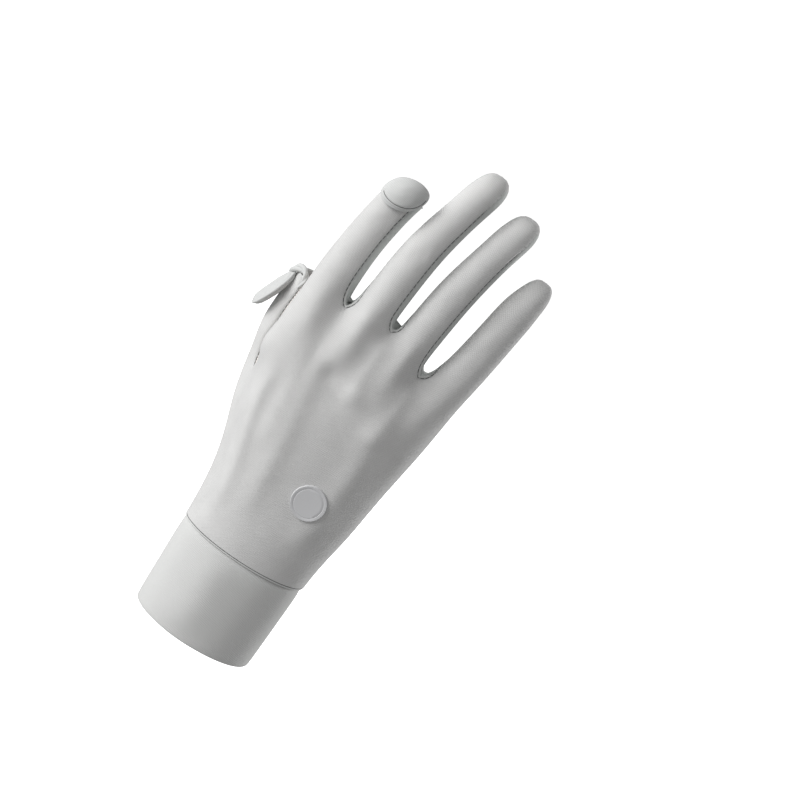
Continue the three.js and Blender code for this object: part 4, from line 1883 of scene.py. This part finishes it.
@dataclass
class GripDots:
    """Rows of small silicone domes over the middle of the palm."""

    pitch: float = 3.6
    radius: float = 0.80
    height: float = 0.48
    foot: float = 0.2
    row_share: float = 0.9
    segments: int = 10
    rings: int = 6
    # Rows of the printed field: its height, and its left and right ends
    zone: tuple[Triple, ...] = (
        (58.0, 11.5, 22.0), (66.0, 6.5, 24.0), (74.0, 0.5, 23.0), (84.0, -8.0, 19.5),
        (94.0, -17.0, 14.5), (104.0, -24.0, 9.5), (114.0, -27.5, 3.5), (124.0, -26.5, -4.5),
        (132.0, -22.0, -13.0),
    )

    def build(self, shell: Shell) -> bpy.types.Object:
        """Models one dome and sets it in staggered rows on the palm.

        Args:
            shell: the cloth that they are printed on.

        Returns:
            All the dots as one object.
        """
        deselect_all()
        bpy.ops.mesh.primitive_uv_sphere_add(
            segments=self.segments, ring_count=self.rings, radius=1.0)
        dome = bpy.context.view_layer.objects.active
        places = places_of(dome.data)
        places[:, :2] *= self.radius * MM
        places[:, 2] *= np.where(places[:, 2] > 0, self.height, self.foot) * MM
        set_places(dome.data, places)
        heights, left, right = zip(*self.zone)
        spots = []
        step = self.pitch * 0.5 * math.sqrt(3) * self.row_share
        row, z = 0, heights[0]
        while z <= heights[-1]:
            low, high = np.interp(z, heights, left), np.interp(z, heights, right)
            shift = self.pitch * 0.5 * (row % 2)
            first = math.ceil((low - shift) / self.pitch) * self.pitch + shift
            for x in np.arange(first, high, self.pitch):
                start = Vector((x * MM, RAY_START, z * MM))
                hit = shell.tree.ray_cast(start, Vector((0.0, -1.0, 0.0)))
                if hit[0] is None:
                    continue
                turn = hit[1].to_track_quat("Z", "Y").to_matrix().to_4x4()
                turn.translation = hit[0]
                spots.append(turn)
            z += step
            row += 1
        log.info("grip dots: %d", len(spots))
        dots = copies_of(dome, spots, "silicone_grip_dots")
        smooth_shading(dots, 80.0)
        return dots


# --------------------------------------------------------------------------------------
# Sewing
# --------------------------------------------------------------------------------------


@dataclass
class Sewing:
    """Every thread, piping and hem of the sewn shell."""

    shell: Shell
    line_radius: float = 0.15 * MM
    line_sink: float = 0.27 * MM
    line_step: float = 0.5 * MM
    line_thinning: float = 0.45
    tip_sink: float = 0.10 * MM
    pipe_radius: float = 0.50 * MM
    pipe_reach: float = 13.0 * MM
    pipe_palm_share: float = 0.6
    pipe_offset: float = 0.55 * MM
    pipe_sink: float = 0.15 * MM
    pipe_step: float = 0.4 * MM
    pipe_ends: float = 0.25
    stitch_pitch: float = 2.3 * MM
    stitch_length: float = 0.95 * MM
    stitch_thickness: float = 0.5 * MM
    stitch_sink: float = 0.16 * MM
    hem_radius: float = 0.55 * MM
    hem_back: float = 0.45
    hem_turn: tuple[float, float] = (-1.0 * MM, 5.0 * MM)
    wrist_level: float = 43.5 * MM
    wrist_radius: float = 0.17 * MM
    wrist_shift: tuple[float, float] = (0.22 * MM, 0.25 * MM)
    welt_radius: float = 0.42 * MM
    welt_shift: tuple[float, float] = (0.44 * MM, 0.62 * MM)
    same_place: float = 1e-5
    widest_gap: float = 0.3 * MM

    def painted_seam_shade(self) -> CordWork:
        """Lays dark thread lines down in the seams: thread, and painted shade in the seam grooves.

        Returns:
            The lines, not built yet.
        """
        # Painted shade: a dark cord sunk in each seam's groove.
        work = CordWork("seam_lines", self.line_radius, Cloth.BACK, SEAM_THREAD_AND_SHADE)
        for seam in self.shell.sewn():
            where = seam.stations(self.line_step)
            places = seam.at(seam.places, where)
            tips = self.shell.near_tips(places)
            depth = (self.line_sink + tips * self.tip_sink)[:, None]
            shares = 1.0 - self.line_thinning * tips
            work.lay(places - seam.at(seam.normals, where) * depth, shares)
        return work

    def crotch_piping(self) -> CordWork:
        """Lays the pale piped edge round each gap between two fingers.

        Returns:
            The piping, not built yet.
        """
        work = CordWork("crotch_piping", self.pipe_radius, Cloth.STRIP, PIPING, resolution=3)
        for seam in self.shell.sewn():
            strips = [n for n in (seam.first, seam.second) if n.startswith("fourchette")]
            if not strips:
                continue
            on_back = "back_panel" in (seam.first, seam.second)
            reach = self.pipe_reach if on_back else self.pipe_reach * self.pipe_palm_share
            part = seam.near(int(np.argmin(seam.places[:, 2])), reach)
            where = part.stations(self.pipe_step)
            middle = np.abs(np.linspace(-1.0, 1.0, len(where)))
            swell = np.cos(middle * math.pi / 2) ** 0.7
            aside = part.at(part.sides[strips[0]], where) * self.pipe_offset
            down = part.at(part.normals, where) * self.pipe_sink
            shares = self.pipe_ends + (1.0 - self.pipe_ends) * swell
            work.lay(part.at(part.places, where) + aside - down, shares)
        return work

    def bridge_stitches(self) -> Stitching:
        """Sews short stitches over the seams, which break their dark lines.

        Returns:
            The stitches, not built yet.
        """
        work = Stitching(
            "seam_stitches", Cloth.BACK, BRIDGE_THREAD, length=self.stitch_length,
            thickness=self.stitch_thickness)
        for seam in self.shell.sewn():
            work.row(seam, self.stitch_pitch, -self.stitch_sink)
        return work

    def hems(self) -> CordWork:
        """Rolls the hems of the two open fingertips, thinner on the back.

        Returns:
            The hems, not built yet.
        """
        work = CordWork("open_hems", self.hem_radius, Cloth.CAP, CAP_KNIT_PLAIN, resolution=3)
        for ring in self.open_rings(at_wrist=False):
            eased = eased_ring(ring)
            palmward = soft_step(eased[:, 1] - eased[:, 1].mean(), *self.hem_turn)
            work.lay(eased, self.hem_back + (1.0 - self.hem_back) * palmward, closed=True)
        return work

    def wrist(self) -> tuple[CordWork, CordWork]:
        """Lays the wrist seam: a dark line of thread and painted shade over a pale welt.

        Returns:
            The line and the welt, not built yet.
        """
        line = CordWork("wrist_seam_line", self.wrist_radius, Cloth.BACK, SEAM_THREAD_AND_SHADE)
        welt = CordWork("wrist_welt", self.welt_radius, Cloth.CUFF, CUFF_PLAIN, resolution=3)
        for ring in self.open_rings(at_wrist=True):
            out = (ring - ring.mean(0)) * np.array([1.0, 1.0, 0.0])
            out /= np.linalg.norm(out, axis=1, keepdims=True)
            for work, (inward, down) in ((line, self.wrist_shift), (welt, self.welt_shift)):
                work.lay(ring - out * inward - np.array([0.0, 0.0, down]), closed=True)
        return line, welt

    def open_rings(self, at_wrist: bool) -> list[np.ndarray]:
        """Joins the open edges end to end into rings of places.

        Args:
            at_wrist: whether the wrist's rings are wanted, or else the fingertips'.

        Returns:
            The places in order round each ring.
        """
        parts = [seam.places for seam in self.shell.seams if seam.second == OPEN_RIM]
        rings = []
        while parts:
            ring = parts.pop(0)
            while np.linalg.norm(ring[0] - ring[-1]) > self.same_place and parts:
                gap, index, end = min(
                    (np.linalg.norm(part[end] - ring[-1]), index, end)
                    for index, part in enumerate(parts) for end in (0, -1))
                if gap > self.widest_gap:
                    break
                part = parts.pop(index)
                ring = np.concatenate([ring, (part if end == 0 else part[::-1])[1:]])
            closed = np.linalg.norm(ring[0] - ring[-1]) < self.same_place
            rings.append(ring[:-1] if closed else ring)
        return [ring for ring in rings if (ring[:, 2].mean() <= self.wrist_level) == at_wrist]


def eased_ring(ring: np.ndarray, count: int = 180, rounds: int = 14) -> np.ndarray:
    """Spaces a closed ring's places evenly and takes its kinks out.

    Args:
        ring: places in order round the ring.
        count: how many places the new ring has.
        rounds: how many times each place moves toward its neighbours.

    Returns:
        The eased ring.
    """
    loop = np.concatenate([ring, ring[:1]])
    run = np.concatenate([[0.0], np.cumsum(np.linalg.norm(np.diff(loop, axis=0), axis=1))])
    even = np.linspace(0.0, run[-1], count + 1)[:-1]
    eased = np.stack([np.interp(even, run, loop[:, axis]) for axis in range(3)], 1)
    for _ in range(rounds):
        eased = eased * 0.5 + (np.roll(eased, 1, 0) + np.roll(eased, -1, 0)) * 0.25
    return eased


@dataclass(frozen=True)
class ThumbTwist:
    """The twisted join of the thumb's cap: two strands round the open rim."""

    path: tuple[Triple, ...] = (
        (-46.6, 17.8, 144.6), (-45.6, 17.0, 147.0), (-43.8, 15.2, 148.8), (-41.6, 13.2, 149.0),
        (-40.1, 11.8, 147.6), (-39.7, 11.1, 145.0), (-40.2, 10.9, 142.0),
    )
    strand: float = 1.12
    spread: float = 0.72
    turns: float = 1.4
    steps: int = 70
    askew: Triple = (0.3, -1.0, 0.2)
    thick: float = 1.25
    thinning: float = 0.75
    thinnest: float = 0.4
    root_share: float = 0.55
    root_rise: float = 4.0

    def strands(self) -> list[tuple[np.ndarray, np.ndarray]]:
        """Winds the two strands round each other, thick at the root and thin at the end.

        Returns:
            Each strand's places in metres and its thickness shares.
        """
        knots = np.array(self.path)
        run = np.linspace(0.0, len(knots) - 1.0, self.steps)
        line = np.stack([smooth_through(knots[:, axis], run) for axis in range(3)], 1)
        ahead = np.gradient(line, axis=0)
        ahead /= np.linalg.norm(ahead, axis=1, keepdims=True)
        side = np.cross(ahead, np.array(self.askew))
        side /= np.linalg.norm(side, axis=1, keepdims=True)
        other = np.cross(ahead, side)
        share = np.linspace(0.0, 1.0, self.steps)
        taper = np.clip(self.thick - self.thinning * share, self.thinnest, 1.0)
        taper = taper * np.clip(self.root_share + share * self.root_rise, 0.0, 1.0)
        found = []
        for start in (0.0, math.pi):
            turn = start + share * self.turns * math.tau
            offset = side * np.cos(turn)[:, None] + other * np.sin(turn)[:, None]
            found.append(((line + offset * self.spread * taper[:, None]) * MM, taper))
        return found

    def cord(self) -> CordWork:
        """Lays the two strands.

        Returns:
            The twist, not built yet.
        """
        work = CordWork(
            "thumb_twist", self.strand * MM, Cloth.CAP, CAP_KNIT_PLAIN, resolution=4)
        for places, shares in self.strands():
            work.lay(places, shares)
        return work


def smooth_through(values: np.ndarray, where: np.ndarray) -> np.ndarray:
    """A smooth curve through evenly spaced values, read at fractions of their index.

    Args:
        values: the values at whole indices.
        where: the fractional indices.

    Returns:
        One value for each fraction.
    """
    padded = np.concatenate([[2 * values[0] - values[1]], values, [2 * values[-1] - values[-2]]])
    base = np.clip(np.floor(where).astype(int), 0, len(values) - 2)
    t = where - base
    a, b, c, d = (padded[base + step] for step in range(4))
    square, cube = 2 * a - 5 * b + 4 * c - d, 3 * b - a - 3 * c + d
    return 0.5 * (2 * b + (c - a) * t + square * t ** 2 + cube * t ** 3)


# --------------------------------------------------------------------------------------
# Studio
# --------------------------------------------------------------------------------------


@dataclass(frozen=True)
class Softbox:
    """One large soft light."""

    name: str
    place: Triple
    size: float
    watts: float
    colour: Triple = (1.0, 1.0, 1.0)

    def hang(self, target: Vector) -> None:
        """Hangs the light and turns it to the glove.

        Args:
            target: the place that the light looks at.
        """
        lamp = bpy.data.lights.new(self.name, "AREA")
        lamp.shape = "SQUARE"
        lamp.size = self.size
        lamp.energy = self.watts
        lamp.color = self.colour
        holder = new_piece(self.name, lamp)
        holder.location = self.place
        look = target - Vector(self.place)
        holder.rotation_euler = look.to_track_quat("-Z", "Y").to_euler()


@dataclass(frozen=True)
class Studio:
    """Plain pale floor, soft lights and the camera at the photograph's angle."""

    target: Triple = (0.01899, 0.0, 0.12956)
    distance: float = 1.2
    pitch: float = 14.0
    roll: float = 33.6
    lens: float = 135.0
    sensor: float = 36.0
    floor_drop: float = 0.30
    floor_size: float = 80.0
    floor_pale: Triple = (0.93, 0.93, 0.93)
    floor_shade: Triple = (0.90, 0.90, 0.90)
    floor_glow: float = 0.75
    ambient: float = 0.37
    room: Triple = (0.985, 0.985, 0.985)
    softboxes: tuple[Softbox, ...] = (
        Softbox("key_left", (-1.35, -0.80, 0.55), 0.9, 19.0),
        Softbox("side_left", (-1.60, -0.30, 0.50), 0.9, 10.5),
        Softbox("rim_right", (1.20, 0.95, 0.35), 0.8, 14.5),
        Softbox("palm_side", (-0.3, 1.7, 0.6), 1.2, 12.0),
    )

    def build(self) -> None:
        """Sets up floor, world, lights and camera."""
        self.lay_floor()
        self.light_world()
        for softbox in self.softboxes:
            softbox.hang(Vector(self.target))
        self.place_camera()
        bpy.context.scene.view_settings.view_transform = "Standard"

    def lay_floor(self) -> None:
        """Lays a plain pale floor well below the held-up glove."""
        deselect_all()
        bpy.ops.mesh.primitive_grid_add(
            x_subdivisions=8, y_subdivisions=8, size=self.floor_size,
            location=(0.0, 0.0, -self.floor_drop))
        floor = bpy.context.view_layer.objects.active
        floor.name = "studio_floor"
        bpy.ops.object.transform_apply(location=True)
        graph = Graph(bpy.data.materials.new("floor_paper"))
        clouds = graph.noise(3.0, 3.0)
        graph.paint(graph.between(clouds, self.floor_shade, self.floor_pale))
        graph.feed(graph.shader, {
            "Roughness": 0.9,
            "Emission Color": (1.0, 1.0, 1.0, 1.0),
            "Emission Strength": self.floor_glow,
        })
        floor.data.materials.append(graph.material)
        floor.visible_diffuse = False
        floor.visible_glossy = False

    def light_world(self) -> None:
        """Gives the room its soft even light, and a white wall behind the glove."""
        world = bpy.data.worlds.new("studio_room")
        bpy.context.scene.world = world
        world.use_nodes = True
        tree = world.node_tree
        tree.nodes.clear()
        output = tree.nodes.new("ShaderNodeOutputWorld")
        mix = tree.nodes.new("ShaderNodeMixShader")
        seen = tree.nodes.new("ShaderNodeLightPath")
        tree.links.new(seen.outputs["Is Camera Ray"], mix.inputs[0])
        lights = ((self.room, self.ambient), ((1.0, 1.0, 1.0), 1.0))
        for place, (colour, strength) in enumerate(lights, 1):
            light = tree.nodes.new("ShaderNodeBackground")
            light.inputs["Color"].default_value = (*colour, 1.0)
            light.inputs["Strength"].default_value = strength
            tree.links.new(light.outputs[0], mix.inputs[place])
        tree.links.new(mix.outputs[0], output.inputs["Surface"])

    def place_camera(self) -> None:
        """Puts the camera at the photograph's angle, rolled so that the fingers lean right."""
        pitch, roll = math.radians(self.pitch), math.radians(self.roll)
        forward = Vector((0.0, math.cos(pitch), -math.sin(pitch)))
        right = Vector((1.0, 0.0, 0.0))
        up = Vector((0.0, math.sin(pitch), math.cos(pitch)))
        across = right * math.cos(roll) + up * math.sin(roll)
        upward = up * math.cos(roll) - right * math.sin(roll)
        eye = Vector(self.target) - forward * self.distance
        lens = bpy.data.cameras.new("camera")
        lens.lens = self.lens
        lens.sensor_width = self.sensor
        lens.clip_end = self.floor_size * 2
        holder = new_piece("camera", lens)
        turn = Matrix((across, upward, -forward)).transposed().to_4x4()
        turn.translation = eye
        holder.matrix_world = turn
        bpy.context.scene.camera = holder


# --------------------------------------------------------------------------------------
# The glove
# --------------------------------------------------------------------------------------


@dataclass
class CopiedForm:
    """A closed form taken whole from its CAD node and smoothed."""

    node: str
    slot: Cloth
    finish: Finish
    rounds: int = 2
    folds: tuple[Fold, ...] = ()
    piece: Optional[bpy.types.Object] = None

    def build(self) -> bpy.types.Object:
        """Copies, merges and smooths the node's mesh.

        Returns:
            The finished object, without its material.
        """
        self.piece = node_copy(self.node, "cloth_" + self.node)
        mesh = self.piece.data
        subdivide(self.piece, self.rounds)
        for fold in self.folds:
            places, normals = places_of(mesh), normals_of(mesh)
            set_places(mesh, places + normals * fold.heights(places, normals)[:, None])
        self.lay_map()
        smooth_shading(self.piece, 60.0)
        return self.piece

    def lay_map(self) -> None:
        """Maps the form by its girth and height, in metres."""
        mesh = self.piece.data
        places = places_of(mesh)
        middle = places.mean(0)
        x, y = (places - middle)[:, 0], (places - middle)[:, 1]
        girth = np.hypot(x, y).mean()
        corners = corners_of(mesh)
        angle = np.arctan2(y, x)[corners]
        for face in mesh.polygons:
            ids = list(face.loop_indices)
            spread = angle[ids]
            if np.ptp(spread) > math.pi:
                angle[ids] = np.where(spread < 0, spread + math.tau, spread)
        new_map(mesh)
        write_map(mesh, np.stack([angle * girth, places[corners, 2]], 1))

    def dress(self) -> None:
        """Gives the form its finish."""
        hand_over(self.piece, self.slot, self.finish, self.node)


def main() -> None:
    """Builds the glove piece by piece, then the studio round it."""
    shell = Shell()
    shell.build()
    shell.dress()
    cuff = CopiedForm("cuff", Cloth.CUFF, CUFF_KNIT, folds=CUFF_FOLDS)
    cuff.build()
    cuff.dress()

    cap = IndexCap()
    hand_over(cap.build(), Cloth.CAP, CAP_KNIT, cap.node)
    leaf = ThumbCap()
    hand_over(leaf.build(), Cloth.CAP, CAP_KNIT, leaf.node)
    badge = Badge()
    hand_over(badge.build(shell), Cloth.RUBBER, BADGE_RUBBER, badge.node)
    hand_over(GripDots().build(shell), Cloth.RUBBER, GRIP_SILICONE)

    sewing = Sewing(shell)
    works = [
        sewing.painted_seam_shade(), sewing.crotch_piping(), sewing.hems(), *sewing.wrist(),
        *cap.cords(), leaf.hem(), ThumbTwist().cord()]
    for work in works:
        work.dress(work.build())
    stitches = sewing.bridge_stitches()
    stitches.dress(stitches.build())
    Studio().build()


if __name__ == "__main__":
    main()
